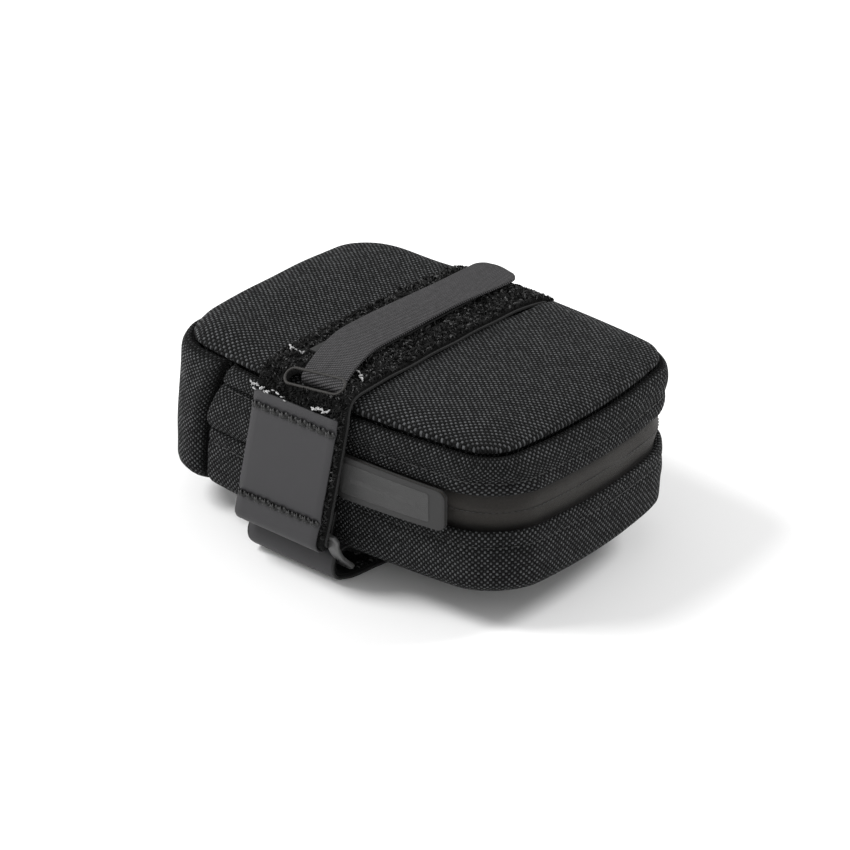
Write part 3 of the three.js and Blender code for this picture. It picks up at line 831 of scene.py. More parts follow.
def makeLowerBand():
    # the strip under the zip, which turns in under the bag as a quarter round
    outer = [(1.9, 19.0), (1.25, 20.0), (0.6, 20.35), (0.0, 19.9), (-0.25, 18.6), (-0.25, 17.2),
             (0.12, 16.0), (-0.25, 14.8), (-0.35, 12), (-0.2, 10)]
    inner = [(10.6, 1.3), (9.9, 1.9)] + bottomArc(1.9)[::-1] + [(1.9, 12)]
    hem = [(9.7, -0.05), (10.4, 0.4)]
    profile = splinePath(np.array(outer + bottomArc(-0.15) + hem + inner), 92, closed=True)
    gapT = band["seamGap"] / wholeRun

    def shape(t, z, distance, inset):
        roll = rollIn(distance, band["edgeRadius"], band["edgeDepth"]) * smooth(inset, 12, 8)
        return roll + ripple(t, z, 0.14, 1) * smooth(z, 0.5, 6)

    piece = ringPanel("lowerBand", profile, lambda z: seamT(z) + gapT, lambda z: 1 - seamT(z) - gapT,
                      band["stations"], cloth, shape)
    addSeamShade(piece, ())
    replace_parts(onMouth(piece), "lower_band_rear_near", "lower_band_rear_far", "lower_band_front")


endStations = 150


def makeEndPanel():
    # the padded end, wrapped round both rear corners, with the same rounded bottom edge
    outer = [(3.4, 41.4), (2.7, 42.5), (1.95, 43.3), (1.2, 43.6), (0.4, 43.1), (-0.3, 41.8), (-0.8, 39.8),
             (-1.0, 34), (-1.0, 25), (-0.9, 15), (-0.7, 10.5)]
    inner = [(10.6, 1.3), (9.9, 1.9)] + bottomArc(1.9)[::-1] + [(1.9, 14), (1.9, 36), (3.0, 41.2)]
    hem = [(9.8, -0.4), (10.5, 0.2)]
    profile = splinePath(np.array(outer + bottomArc(-0.6) + hem + inner), 96, closed=True)
    gapT = band["seamGap"] / wholeRun

    def shape(t, z, distance, inset):
        return rollIn(distance, 3.4, 3.4) * smooth(inset, 12, 8) + ripple(t, z, 0.16, 3) * smooth(z, 0.5, 6)

    piece = ringPanel("endPanel", profile, lambda z: gapT - seamT(z), lambda z: seamT(z) - gapT,
                      endStations, cloth, shape)
    addSeamShade(piece)
    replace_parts(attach(piece, "root"), "end_panel")


def makeBottomPanel():
    # the flat lid under the bag, inside the walls' turned-in edge
    shrinks = np.linspace(0.04, 1, 14)[:, None]
    under = np.hstack([14 + 0 * shrinks, shrinks, 0.0 + 0 * shrinks])[:-1]
    over = np.hstack([14 + 0 * shrinks, shrinks, lid["wall"] + 0 * shrinks])[::-1][1:]
    rim = [(14, 0.0), (12, 0.02), (11.1, 0.35), (10.9, 1.1), (11.3, 1.75), (12.4, 1.8), (14, 1.8)]
    edge = splinePath(np.array(rim), 24)
    rings = lidRings(np.vstack([under, np.insert(edge, 1, 1, axis=1), over]))
    piece = finishLid("bottomPanel", rings, cloth)
    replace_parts(onMouth(piece), "bottom_panel_rear", "bottom_panel_front")


makeTopPanel()
makeUpperBand()
makeGusset("near", -1)
makeGusset("far", 1)
makeLowerBand()
makeEndPanel()
makeBottomPanel()
print("walls made")


def repeat(name, template, centres, frames, scales, materials):
    # one mesh holding a copy of the template at each centre, turned by its frame (three axes as rows)
    # and stretched by its three scales
    verts, faces = template
    local = verts[None] * scales[:, None, :]
    placed = centres[:, None, :] + np.einsum("nvk,nkj->nvj", local, frames)
    count = len(verts)
    shift = (np.arange(len(centres)) * count)[:, None, None]
    allFaces = np.where(faces[None] < 0, -1, faces[None] + shift).reshape(-1, 4)
    return makePiece(name, placed.reshape(-1, 3), allFaces, materials, sharp=70)


def bead(rings=5, columns=6):
    # a lens-shaped stitch along x, of length 1 and thickness 1: rings between two poles
    a = np.linspace(0, math.pi, rings + 2)[1:-1]
    b = np.linspace(0, 2 * math.pi, columns, endpoint=False)
    r = 0.5 * np.sin(a) ** 0.6
    verts = np.stack([np.repeat(-0.5 * np.cos(a), columns), np.outer(r, np.cos(b)).ravel(),
                      np.outer(r, np.sin(b)).ravel()], 1)
    verts = np.vstack([verts, [[-0.5, 0, 0], [0.5, 0, 0]]])
    return outward(verts, closedFaces(rings, columns))


def outward(verts, faces):
    # flips all faces when the closed shape's signed volume is negative
    tri = np.concatenate([faces[:, :3], faces[faces[:, 3] >= 0][:, [0, 2, 3]]])
    a, b, c = (verts[tri[:, k]] for k in range(3))
    volume = np.einsum("ij,ij->i", a, np.cross(b, c)).sum()
    if volume > 0:
        return verts, faces
    flipped = faces.copy()
    quads = faces[:, 3] >= 0
    flipped[quads] = faces[quads][:, ::-1]
    flipped[~quads, :3] = faces[~quads][:, [1, 0, 2]]
    return verts, flipped


def ply(rings=9, columns=5, turns=1.25):
    # a stitch of two strands twisted round each other along x, of length 1 and thickness 1
    s = np.linspace(0, 1, rings)
    b = np.linspace(0, 2 * math.pi, columns, endpoint=False)
    swell = np.sin(np.clip(s, 0.03, 0.97) * math.pi) ** 0.35
    parts, faces = [], []
    for strand in (0, math.pi):
        turn = strand + s * turns * 2 * math.pi
        y = 0.24 * swell * np.cos(turn)
        z = 0.24 * swell * np.sin(turn) - 0.5 * (1 - np.sin(math.pi * s) ** 0.5)
        r = 0.27 * swell
        ring = np.stack([np.repeat(s - 0.5, columns), (y[:, None] + r[:, None] * np.cos(b)).ravel(),
                         (z[:, None] + r[:, None] * np.sin(b)).ravel()], 1)
        tips = ring.reshape(rings, columns, 3)[[0, -1]].mean(1)
        verts = np.vstack([ring, tips])
        verts, own = outward(verts, closedFaces(rings, columns))
        faces.append(np.where(own < 0, -1, own + sum(len(p) for p in parts)))
        parts.append(verts)
    return np.vstack(parts), np.concatenate(faces)


def hoop():
    # one loop of pile: a thin three-sided tube bent over a half circle of width 1, standing along z
    s = np.linspace(0, math.pi, 5)
    b = np.linspace(0, 2 * math.pi, 3, endpoint=False)
    out = np.stack([-np.cos(s), 0 * s, np.sin(s)], 1)
    tube = 0.2
    across = np.array([0, 1, 0]) * tube * np.sin(b)[None, :, None]
    ring = out[:, None, :] * (0.5 + tube * np.cos(b)[None, :, None]) + across
    verts = ring.reshape(-1, 3)
    side = gridFaces(5, 3, True)
    caps = np.array([[0, 1, 2, -1], [12, 14, 13, -1]])
    return outward(verts, np.concatenate([side, caps]))


def framesFrom(along, out):
    # three axes for each item: along, across and out, squared up
    along = unit(along)
    across = unit(np.cross(out, along))
    return np.stack([along, across, np.cross(along, across)], 1)


def stitchesOnWall(name, z, inset, tFrom, tTo, size, material):
    # a row of stitches round the outline at height z, one each pitch
    length = (tTo - tFrom) * wholeRun
    count = int(length / size["pitch"])
    t = tFrom + (np.arange(count) + 0.5) / count * (tTo - tFrom)
    step = 0.4 / wholeRun
    here = planPoint(t, inset + ripple(t, z, 0.1), z)
    along = planPoint(t + step, inset, z) - planPoint(t - step, inset, z)
    out = np.stack([along[:, 1], -along[:, 0], 0 * t], 1)
    scales = np.tile([size["length"], size["width"], size["width"]], (count, 1))
    return repeat(name, bead(), here, framesFrom(along, out), scales, [material])


topstitch = {"pitch": 3.2, "length": 2.7, "width": 0.28}


def makeTopstitches():
    # a fine row on the upper band and one on the lower band
    start = float(seamT(35.6)) + 0.012
    piece = stitchesOnWall("upperTopstitch", 35.6, 0.1, start, 1 - start, topstitch, darkThread)
    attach(piece, "root")
    start = float(seamT(16.0)) + 0.012
    onMouth(stitchesOnWall("lowerTopstitch", 16.0, 0.0, start, 1 - start, topstitch, darkThread))


zipShape = {"joinHeight": 26.0, "startX": -4.0, "stations": 300, "teeth": 170}
joinStitch = {"pitch": 1.5, "length": 1.0, "width": 0.3}


def makeZip():
    # two coated tapes that meet face to face, with teeth behind them and dashes along the join
    startT = float(tAtX(zipShape["startX"], 26.0))
    join = zipShape["joinHeight"]
    half = np.array([(1.95, 8.4), (1.85, 5.6), (1.6, 4.2), (1.25, 2.6), (0.95, 1.2), (0.85, 0.25),
                     (1.0, 0.03), (1.5, 0.03), (1.9, 0.4), (2.1, 2.0), (2.5, 5.6), (2.7, 8.4)])
    for side, sign in (("Upper", 1), ("Lower", -1)):
        profile = splinePath(half * [1, sign] + [0, join], 60, closed=True)
        piece = ringPanel("zipTape" + side, profile, lambda z: startT + 0 * z, lambda z: 1 - startT + 0 * z,
                          zipShape["stations"], tapeCloth, lambda t, z, *rest: ripple(t, z, 0.08, 4))
        # painted shadow along the tape under the bands' edges
        addSeamShade(piece, (), True)
        count = zipShape["teeth"]
        teethT = startT + (np.arange(count) + (0.5 if sign > 0 else 1.0)) / (count + 1) * (1 - 2 * startT)
        here = planPoint(teethT, 2.7, join + sign * 0.55)
        along = planPoint(teethT + 0.001, 2.7, join) - planPoint(teethT - 0.001, 2.7, join)
        out = np.stack([along[:, 1], -along[:, 0], 0 * teethT], 1)
        teeth = repeat("zipTeeth" + side, bead(), here, framesFrom(np.cross(along, out), out),
                       np.tile([1.7, 0.8, 1.2], (count, 1)), [nylon])
        if sign > 0:
            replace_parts(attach(piece, "root"), "zip_tape_upper")
            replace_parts(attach(teeth, "root"), "zip_coil_upper")
        else:
            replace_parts(onMouth(piece), "zip_tape_lower", "zip_tape_rear_near", "zip_tape_rear_far")
            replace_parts(onMouth(teeth), "zip_coil_lower")
    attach(stitchesOnWall("zipJoin", join, 0.84, startT, 1 - startT, joinStitch, nylon), "root")


makeTopstitches()
makeZip()
print("zip and topstitches made")


strap = {
    "topX": -4.0, "ringX": -7.8, "tailSkew": 0.17, "overHeight": 49.4, "tailHeight": -8.4,
    "upperBar": (-49.0, 6.6), "lowerBar": (-43.2, -3.6), "curl": 3.0, "roll": 4.0,
    "tailCut": -12.0, "tailEnd": 30.0, "nearShift": 1.5,
}


def strapLine():
    # the strap's middle line in y and z: from inside the loop at the ring, up the near side, over the
    # top, down the far side, back under the bag and round the ring's lower bar to the tail
    q = strap
    curl = arcPoints(q["upperBar"], q["curl"], 0, -180, 9)
    rise = [(-51.8, 11), (-51.6, 16), (-50.8, 22), (-50.0, 28), (-49.1, 34), (-48.3, 39), (-46.9, 44)]
    over = [(-44.4, 47.2), (-41, 48.9), (-36, 49.4), (-24, 49.4), (-8, 49.4), (8, 49.2), (20, 48.9)]
    fall = [(29, 48.3), (36, 47.4), (40.4, 46.0), (43.6, 42.8), (45.4, 38.4), (46.7, 32), (47.3, 24),
            (47.4, 14), (47.4, 4)]
    farCurl = arcPoints((40.4, 2.2), 7, -15, -90, 5)
    under = [(34, -4.8), (20, -4.8), (0, -4.8), (-14, -4.8), (-24, -4.8), (-31, -4.4), (-36, -3.0)]
    roll = arcPoints(q["lowerBar"], q["roll"], 62, 245, 11)
    tail = [(-41.3, -8.15)] + [(y, q["tailHeight"]) for y in (-37, -30, -20, q["tailCut"])]
    inside = [(-46, 14), (-46, 10)]
    return splinePath(np.vstack([inside, curl, rise, over, fall, farCurl, under, roll, tail]), 430)


def strapMiddle(z):  # the strap leans towards the seat post end on its way down
    return strap["topX"] + (strap["ringX"] - strap["topX"]) * (1 - smooth(z, 0, strap["overHeight"] - 5))


def tailMiddle(y):  # the tail runs back under the bag at a slant
    return strap["ringX"] + strap["tailSkew"] * (y - strap["lowerBar"][0])


def nearShift(line):  # the near run hangs a little towards the mouth
    onNear = (line[:, 0] < -43) * smooth(line[:, 1], 2, 16) * (1 - smooth(line[:, 1], 42, 49))
    return strap["nearShift"] * onNear


def middleOf(line):
    # the strap's middle at each point of its line; the run under the bag's tail takes the tail's slant
    lean = strapMiddle(line[:, 1]) + nearShift(line)
    onTail = (line[:, 1] < -7.4) * (np.arange(len(line)) > len(line) // 2)
    return lean + (tailMiddle(line[:, 0]) - lean) * onTail


def lineFrame(line):
    # unit steps along a (y, z) line, and the directions out of the band on its left
    step = unit(np.gradient(line, axis=0))
    return step, np.stack([-step[:, 1], step[:, 0]], 1)


strapSection = {"backHalf": 16.0, "pileHalf": 15.75, "inner": -1.2, "split": -0.42, "outer": 0.85}


def strapProfile():
    # across and out: the coated backing below, a groove, and the pile's ground above
    q = strapSection
    wide = np.linspace(-0.96, 0.96, 13)
    inner = [(x * q["backHalf"], q["inner"]) for x in wide]
    back, front, split = q["backHalf"], q["pileHalf"], q["split"]
    right = [(back, q["inner"] + 0.12), (back, split - 0.1), (back - 0.15, split),
             (front - 0.3, split + 0.04), (front - 0.3, split + 0.14), (front, split + 0.26),
             (front, q["outer"] - 0.35), (front - 0.25, q["outer"] - 0.08)]
    outer = [(x * q["pileHalf"], q["outer"]) for x in wide[::-1]]
    left = [(-x, n) for x, n in right[::-1]]
    points = np.array(inner + right + outer + left)
    mids = (points + np.roll(points, -1, axis=0)) / 2
    slots = np.where(mids[:, 1] > q["split"] + 0.1, 1, 0)
    slots[(np.abs(mids[:, 0]) > q["backHalf"] - 0.5) & (mids[:, 1] <= q["split"] + 0.1)] = 2
    return points, slots


def bandRings(line, profile, middle, widthScale=None):
    # carries an (across, out) profile along a (y, z) line whose middle lies at x = middle
    out = lineFrame(line)[1]
    across = profile[None, :, 0] * (1 if widthScale is None else widthScale[:, None])
    x = middle[:, None] + across
    y = line[:, 0][:, None] + out[:, 0][:, None] * profile[None, :, 1]
    z = line[:, 1][:, None] + out[:, 1][:, None] * profile[None, :, 1]
    return np.stack([x, y, z], -1)


slotHole = {
    "x": -1.6, "y": -42.6, "z": 48.4, "length": 18.8, "width": 4.4,
    "tilt": math.radians(36), "turn": math.radians(7), "depth": (-2.6, 3.5),
}


def slotAxes():  # along the slot, across it up the strap, and out of the strap
    c, s = math.cos(slotHole["tilt"]), math.sin(slotHole["tilt"])
    a, b = math.cos(slotHole["turn"]), math.sin(slotHole["turn"])
    return np.array([[a, b * c, b * s], [-b, a * c, a * s], [0, -s, c]])


def oblong(length, width, count=40):  # an outline with round ends
    a = np.linspace(0, 2 * math.pi, count, endpoint=False)
    half = (length - width) / 2
    return np.stack([np.cos(a) * width / 2 + half * np.sign(np.cos(a) + 1e-9), np.sin(a) * width / 2], 1)


def inSlotFrame(flat, out):
    # points in the slot's own flat frame, put into the bag's
    axes = slotAxes()
    centre = np.array([slotHole["x"], slotHole["y"], slotHole["z"]])
    return centre + flat[:, :1] * axes[0] + flat[:, 1:2] * axes[1] + out * axes[2]


def cutSlot(piece):
    # takes an oblong slot out of the strap
    outline = oblong(slotHole["length"], slotHole["width"])
    rings = np.stack([inSlotFrame(outline, out) for out in slotHole["depth"]])
    cutter = sweep("slotCutter", rings, [edgeCloth])
    cut = piece.modifiers.new("slot", "BOOLEAN")
    cut.operation = "DIFFERENCE"
    cut.solver = "EXACT"
    cut.object = cutter
    result = bpy.data.meshes.new_from_object(piece.evaluated_get(bpy.context.evaluated_depsgraph_get()))
    piece.modifiers.clear()
    old = piece.data
    piece.data = result
    result.name = "strapBand"
    bpy.data.meshes.remove(old)
    bpy.data.objects.remove(cutter)
    result.set_sharp_from_angle(angle=math.radians(40))


def makeStrap():
    # the band carried along its line, with a slight flutter of its edges, and the slot's binding
    line = strapLine()
    profile, slots = strapProfile()
    run = lengthAlong(line)
    rings = bandRings(line, profile, middleOf(line), 0.86 + 0.14 * smooth(run, 8, 15))
    flutter = 0.12 * np.sin(run * 0.35)[:, None] * (np.abs(profile[None, :, 0]) / 16) ** 2
    rings[..., 2] += flutter
    piece = sweep("strapBand", rings, [coated, ground, edgeCloth], rowSlots=slots, capSlot=2)
    cutSlot(piece)
    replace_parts(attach(piece, "root"), "strap_band")
    outline = oblong(slotHole["length"] + 0.6, slotHole["width"] + 0.6, 64)
    ringPath = inSlotFrame(outline, 0.95)
    tube = closedTube("slotRim", ringPath, (0.42, 0.4), slotAxes()[2], bindingCloth)
    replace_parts(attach(tube, "root"), "slot_binding")
    return line


def closedTube(name, path, radii, up, material, columns=10, square=1.0):
    # a tube round a closed path, its section an ellipse; square below 1 makes the section boxier
    along = unit(np.roll(path, -1, axis=0) - np.roll(path, 1, axis=0))
    up = np.broadcast_to(up, path.shape)
    side = unit(np.cross(along, up))
    top = np.cross(side, along)
    b = np.linspace(0, 2 * math.pi, columns, endpoint=False) + math.pi / columns
    c = np.sign(np.cos(b)) * np.abs(np.cos(b)) ** square
    s = np.sign(np.sin(b)) * np.abs(np.sin(b)) ** square
    sideways = side[:, None] * (radii[0] * c)[None, :, None]
    rings = path[:, None] + sideways + top[:, None] * (radii[1] * s)[None, :, None]
    closedRings = np.concatenate([rings, rings[:1]])
    rows = len(closedRings)
    faces = gridFaces(rows, columns, True)
    run = np.concatenate([[0], np.cumsum(np.linalg.norm(np.diff(closedRings[:, 0], axis=0), axis=1))])
    u = run[:, None] + np.zeros((1, columns + 1))
    v = np.linspace(0, 2 * math.pi * radii[0], columns + 1)[None, :] + np.zeros((rows, 1))
    return closeUp(makePiece(name, closedRings.reshape(-1, 3), faces, [material], gridUv(u, v)))


def tailPiece():
    # the end of the strap under the bag, which peels down from the pile of the run above it
    places = (strap["tailCut"], 0, 12, 24, strap["tailEnd"])
    line = splinePath(np.array([(y, strap["tailHeight"]) for y in places]), 70)
    profile, slots = strapProfile()
    left = strap["tailEnd"] - line[:, 0]
    narrow = 1 - 0.30 * (1 - np.clip(left / 4.5, 0, 1)) ** 2.5
    rings = bandRings(line, profile, tailMiddle(line[:, 0]), narrow)
    piece = sweep("strapTail", rings, [coated, ground, edgeCloth], rowSlots=slots, capSlot=2)
    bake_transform(piece)
    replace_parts(piece, "tail_tip")


patch = {"left": -15.9, "right": 14.1, "thickness": 0.65, "top": 43.0, "rowTop": 39.6, "rowLow": 13.0}


def makePatch(line):
    # the coated patch over the near side of the strap and round its loop at the ring
    top = np.argmax((line[:, 1] > patch["top"]) & (line[:, 0] < -44))
    bottom = np.argmin(np.linalg.norm(line - [-49.2, 3.6], axis=1))
    part = line[bottom:top + 1]
    rowDip = hump(part[:, 1], patch["rowTop"], 0.8) + hump(part[:, 1], patch["rowLow"], 0.8)
    low, high = strapSection["outer"] + 0.3, strapSection["outer"] + 0.3 + patch["thickness"]
    wide = np.linspace(patch["left"] + 0.25, patch["right"] - 0.25, 14)
    rightEdge = [(patch["right"], low + 0.15), (patch["right"], high - 0.15)]
    leftEdge = [(patch["left"], high - 0.15), (patch["left"], low + 0.15)]
    profile = np.array([(x, low) for x in wide] + rightEdge + [(x, high) for x in wide[::-1]] + leftEdge)
    rings = bandRings(part, profile, middleOf(part))
    out = lineFrame(part)[1]
    rings[..., 1] -= out[:, 0][:, None] * rowDip[:, None] * 0.55
    piece = sweep("tabPatch", rings, [coated], uvShift=(40, 0))
    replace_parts(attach(piece, "root"), "tab_patch")
    rows = (("patchStitchTop", patch["rowTop"], 9), ("patchStitchLow", patch["rowLow"], 10))
    first, last = patch["left"] + 1.6, patch["right"] - 1.8
    for name, height, count in rows:
        i = np.argmin(np.abs(part[:, 1] - height) + 100 * (part[:, 0] > -46))
        x = strapMiddle(height) + nearShift(part[i:i + 1]) + np.linspace(first, last, count)
        centre = part[i] + out[i] * (high + 0.3)
        sway = random.normal(0, 0.12, (count, 2))
        centres = np.stack([x, centre[0] + 0 * x, centre[1] + sway[:, 0]], 1)
        along = np.stack([0 * x + 1, 0 * x, sway[:, 1] * 0.8], 1)
        outs = np.tile([0, out[i][0], out[i][1]], (count, 1))
        scales = np.tile([(last - first) / (count - 1) * 1.02, 2.2, 1.9], (count, 1))
        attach(repeat(name, ply(), centres, framesFrom(along, outs), scales, [darkThread]), "root")


def strapPoints(line, count, fromRun, toRun, low, high):
    # random places on the strap's outer face between two runs along it: their centres and the way out
    run = lengthAlong(line)
    s = random.uniform(fromRun, toRun, count)
    a = random.uniform(low, high, count)
    out = lineFrame(line)[1]
    where = [np.interp(s, run, line[:, k]) for k in (0, 1)]
    outs = np.stack([np.interp(s, run, out[:, k]) for k in (0, 1)], 1)
    outs = unit(outs)
    rise = strapSection["outer"]
    x = np.interp(s, run, middleOf(line)) + a
    centres = np.stack([x, where[0] + outs[:, 0] * rise, where[1] + outs[:, 1] * rise], 1)
    return centres, np.stack([0 * s, outs[:, 0], outs[:, 1]], 1)


def addLoops(name, centres, outs):
    # curly loops of pile standing on the ground cloth, each turned and leaned its own way
    count = len(centres)
    turn = random.uniform(0, math.pi, count)
    side = unit(np.cross(outs, [1, 0, 0]))
    flat = np.array([1.0, 0, 0]) * np.cos(turn)[:, None] + side * np.sin(turn)[:, None]
    lean = outs + 0.75 * random.normal(0, 1, (count, 3)) * pile["spread"]
    size = random.uniform(0.75, 1.35, count)
    scales = np.stack([size, 0.8 * np.ones(count), size * random.uniform(0.8, 1.25, count)], 1)
    piece = repeat(name, hoop(), centres - outs * 0.12, framesFrom(flat, lean), scales, [loops])
    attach(piece, "root")


pile = {"perSquare": 2.5, "thinBelow": 0.45, "spread": 0.45}


def makePile(line):
    # zones of (from, to, low, high): two runs along the strap and two places across it. The loops leave
    # the slot free, and two of three are left out where the ribbon hides them.
    run = lengthAlong(line)
    at = lambda y, z: run[np.argmin(np.linalg.norm(line - [y, z], axis=1))]
    half = strapSection["pileHalf"] - 0.1
    zones = {
        "pileNear": [(at(-51.9, 8), at(-48.1, 40), patch["right"] + 0.2, half),
                     (at(-46, 6), at(-49, 3.4), -half, half)],
        "pileTop": [(at(-47.9, 41.2), at(-41, 48.9), -half, half),
                    (at(-41, 48.9), at(40.4, 46.0), -half, half)],
        "pileFar": [(at(40.4, 46.0), at(47.4, 4), -half, half)],
        "pileUnder": [(at(47.4, 4), at(-36, -3.0), -half, half),
                      (at(-36, -3), at(-39.2, -4.6), half - 2.6, half),
                      (at(-39.2, -6.4), run[-1], half - 2.6, half)],
    }
    for name, parts in zones.items():
        gathered = []
        perSquare = pile["perSquare"] * (pile["thinBelow"] if name == "pileUnder" else 1)
        for start, stop, low, high in parts:
            count = int((stop - start) * (high - low) * perSquare)
            centres, outs = strapPoints(line, max(count, 4), start, stop, low, high)
            local = (centres - [slotHole["x"], slotHole["y"], slotHole["z"]]) @ slotAxes().T
            straight = (slotHole["length"] - slotHole["width"]) / 2
            reach = np.hypot(np.maximum(np.abs(local[:, 0]) - straight, 0), local[:, 1])
            free = (reach > slotHole["width"] / 2 + 0.9) | (np.abs(local[:, 2]) > 3)
            hidden = (centres[:, 2] > 46) & (centres[:, 1] > -38) & (centres[:, 1] < 33)
            hidden &= np.abs(centres[:, 0] - ribbonMiddle(centres[:, 1])) < 5.6
            free &= ~hidden | (np.arange(len(free)) % 3 == 0)
            gathered.append((centres[free], outs[free]))
        addLoops(name, *(np.concatenate(k) for k in zip(*gathered)))


ribbon = {"width": 14.9, "thickness": 0.9, "restX": -5.2, "rootX": 1.5, "tipY": 40.6, "corner": 4.2}


def ribbonMiddle(y):  # it leaves the slot's front end and slants back to the strap's middle
    return ribbon["rootX"] + (ribbon["restX"] - ribbon["rootX"]) * smooth(y, -50, -18)


def makeRibbon():
    # a flat ribbon out of the slot, rounded at its free end as a quarter circle on each side
    line = splinePath(np.array([
        (-41.6, 46.6), (-42.3, 47.6), (-42.5, 48.7), (-41.7, 49.8), (-39.8, 50.7), (-37.0, 51.4),
        (-33, 51.9), (-26, 52.2), (-14, 52.2), (0, 52.1), (12, 51.8), (22, 51.3), (30, 50.9), (36, 50.7),
        (ribbon["tipY"], 50.6)]), 190)
    q = ribbon["width"] / 2
    t = ribbon["thickness"] / 2
    wide = np.linspace(-0.97, 0.97, 12)
    edges = [(q, -t * 0.5), (q, t * 0.5)], [(-q, t * 0.5), (-q, -t * 0.5)]
    profile = np.array([(x * q, -t) for x in wide] + edges[0] + [(x * q, t) for x in wide[::-1]] + edges[1])
    left = lengthAlong(line)[-1] - lengthAlong(line)
    corner = ribbon["corner"]
    inside = np.clip(1 - left / corner, 0, 1)
    narrow = 1 - (corner / q) * (1 - np.sqrt(np.clip(1 - inside**2, 0, 1)))
    rings = bandRings(line, profile, ribbonMiddle(line[:, 0]), np.maximum(narrow, 0.2))
    bow = 0.35 * (1 - (profile[:, 0] / q) ** 2)[None, :] * smooth(line[:, 0], -44, -34)[:, None]
    rings[..., 2] += bow + 0.25 * np.sin(line[:, 0] * 0.12)[:, None] * (profile[:, 0] / q)[None, :]
    piece = sweep("gripRibbon", rings, [grosgrain])
    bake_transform(piece)
    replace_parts(piece, "ribbon_root", "ribbon_tongue")


def makePaleStitches():
    # short bits of pale thread that tack the strap's layers together beside the ribbon's root
    rows = [((-18.4, -35.0, 51.0), (-12.6, -35.0, 51.0)), ((5.6, -34.2, 51.0), (9.8, -36.8, 50.9)),
            ((-19.4, -48.9, 44.6), (-7.0, -48.8, 44.5)), ((3.2, -48.7, 44.8), (9.2, -48.6, 45.2))]
    centres, along = [], []
    for a, b in rows:
        a, b = np.array(a), np.array(b)
        run = np.linalg.norm(b - a)
        count = max(3, int(run / 0.75))
        s = random.uniform(0, 1, count) ** 1.3
        centres.append(a + (b - a) * s[:, None] + random.normal(0, 0.32, (count, 3)))
        along.append(np.tile(b - a, (count, 1)) / run + random.normal(0, 0.55, (count, 3)))
    centres, along = np.concatenate(centres), np.concatenate(along)
    outs = np.where(centres[:, 2:] > 48, [0, 0, 1.0], [0, -0.86, 0.5])
    lengths = random.uniform(0.8, 2.0, len(centres))
    scales = np.stack([lengths, 0.24 + 0.22 * lengths, 0.24 + 0.22 * lengths], 1)
    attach(repeat("paleStitches", ply(), centres, framesFrom(along, outs), scales, [paleThread]), "root")


ringShape = {"reach": 17.0, "legHalf": 2.0, "barHalf": 0.7}


def makeRing():
    # a flat wire ring: two bars along x and two legs that bend over between them
    q, reach = strap, ringShape["reach"]
    (y0, z0), (y1, z1) = q["upperBar"], q["lowerBar"]
    knee = ((y0 + y1) / 2 - 1.1, (z0 + z1) / 2 - 0.8)
    leg = splinePath(np.array([(y0, z0), (y0 + 0.1, z0 - 2.4), knee, (y1 - 1.6, z1 + 1.6), (y1, z1)]), 14)
    inner = reach - 1.6
    points = [(x, y0, z0) for x in np.linspace(-inner, inner, 16)]
    points += [(inner + 1.1, y0, z0)] + [(reach, y, z) for y, z in leg] + [(inner + 1.1, y1, z1)]
    points += [(x, y1, z1) for x in np.linspace(inner, -inner, 16)]
    points += [(-inner - 1.1, y1, z1)] + [(-reach, y, z) for y, z in leg[::-1]] + [(-inner - 1.1, y0, z0)]
    path = splinePath(np.array(points), 260, closed=True) + [q["ringX"], 0, 0]
    lean = unit(np.array([0, z1 - z0, -(y1 - y0)]))
    radii = (ringShape["legHalf"], ringShape["barHalf"])
    piece = closedTube("strapRing", path, radii, lean, darkMetal, 20, 0.4)
    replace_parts(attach(piece, "ring"), "strap_ring")


pullShape = {
    "x": 5.5, "y": -44.58, "turn": 0.0741, "rear": 3.2, "length": 35.7, "height": 12.6, "taper": 0.9,
    "radius": 2.3, "panelLength": 29.4, "panelHeight": 9.0, "panelRadius": 0.8, "panelPlace": (-1.6, 0.1),
}


def roundedRect(length, height, radius, perCorner=7):
    # a rectangle's outline with arcs at its corners and seven points on each side
    parts = []
    for sx, sy, start in ((1, 1, 0), (-1, 1, 90), (-1, -1, 180), (1, -1, 270)):
        centre = (sx * (length / 2 - radius), sy * (height / 2 - radius))
        parts.append(arcPoints(centre, radius, start, start + 90, perCorner))
        nextCentre = {0: (-1, 1), 90: (-1, -1), 180: (1, -1), 270: (1, 1)}[start]
        end = parts[-1][-1]
        target = np.array([nextCentre[0] * (length / 2 - radius), nextCentre[1] * height / 2])
        if start in (90, 270):
            target = np.array([nextCentre[0] * length / 2, nextCentre[1] * (height / 2 - radius)])
        parts.append(end + (target - end) * np.linspace(0.1, 0.9, 7)[:, None])
    return np.vstack(parts)


def inPull(flat, depth):
    # points of the pull from places along and up it and a depth out of the bag; the tab bends slowly,
    # as a parabola, to follow the bag's side
    q = pullShape
    middle = q["rear"] + q["length"] / 2
    bend = 0.0016 * (flat[:, 0] ** 2) - 0.25
    tall = 1 - q["taper"] * flat[:, 0] / (q["length"] / 2) / (q["height"] / 2) / 2
    x, y, z = flat[:, 0] + middle, -depth + bend, flat[:, 1] * tall
    c, s = math.cos(q["turn"]), math.sin(q["turn"])
    return np.stack([q["x"] + c * x - s * y, q["y"] + s * x + c * y, zipShape["joinHeight"] + z], 1)


def plateRings(steps, length, height, radius, place=(0, 0), least=0.3):
    # rings of a plate's outline: each step is a (draw-in, depth) pair, the first and last near the middle
    rings = []
    for drawIn, depth in steps:
        outline = roundedRect(length - 2 * drawIn, height - 2 * drawIn, max(radius - drawIn, least))
        rings.append(inPull(outline + place, depth))
    return np.stack(rings)


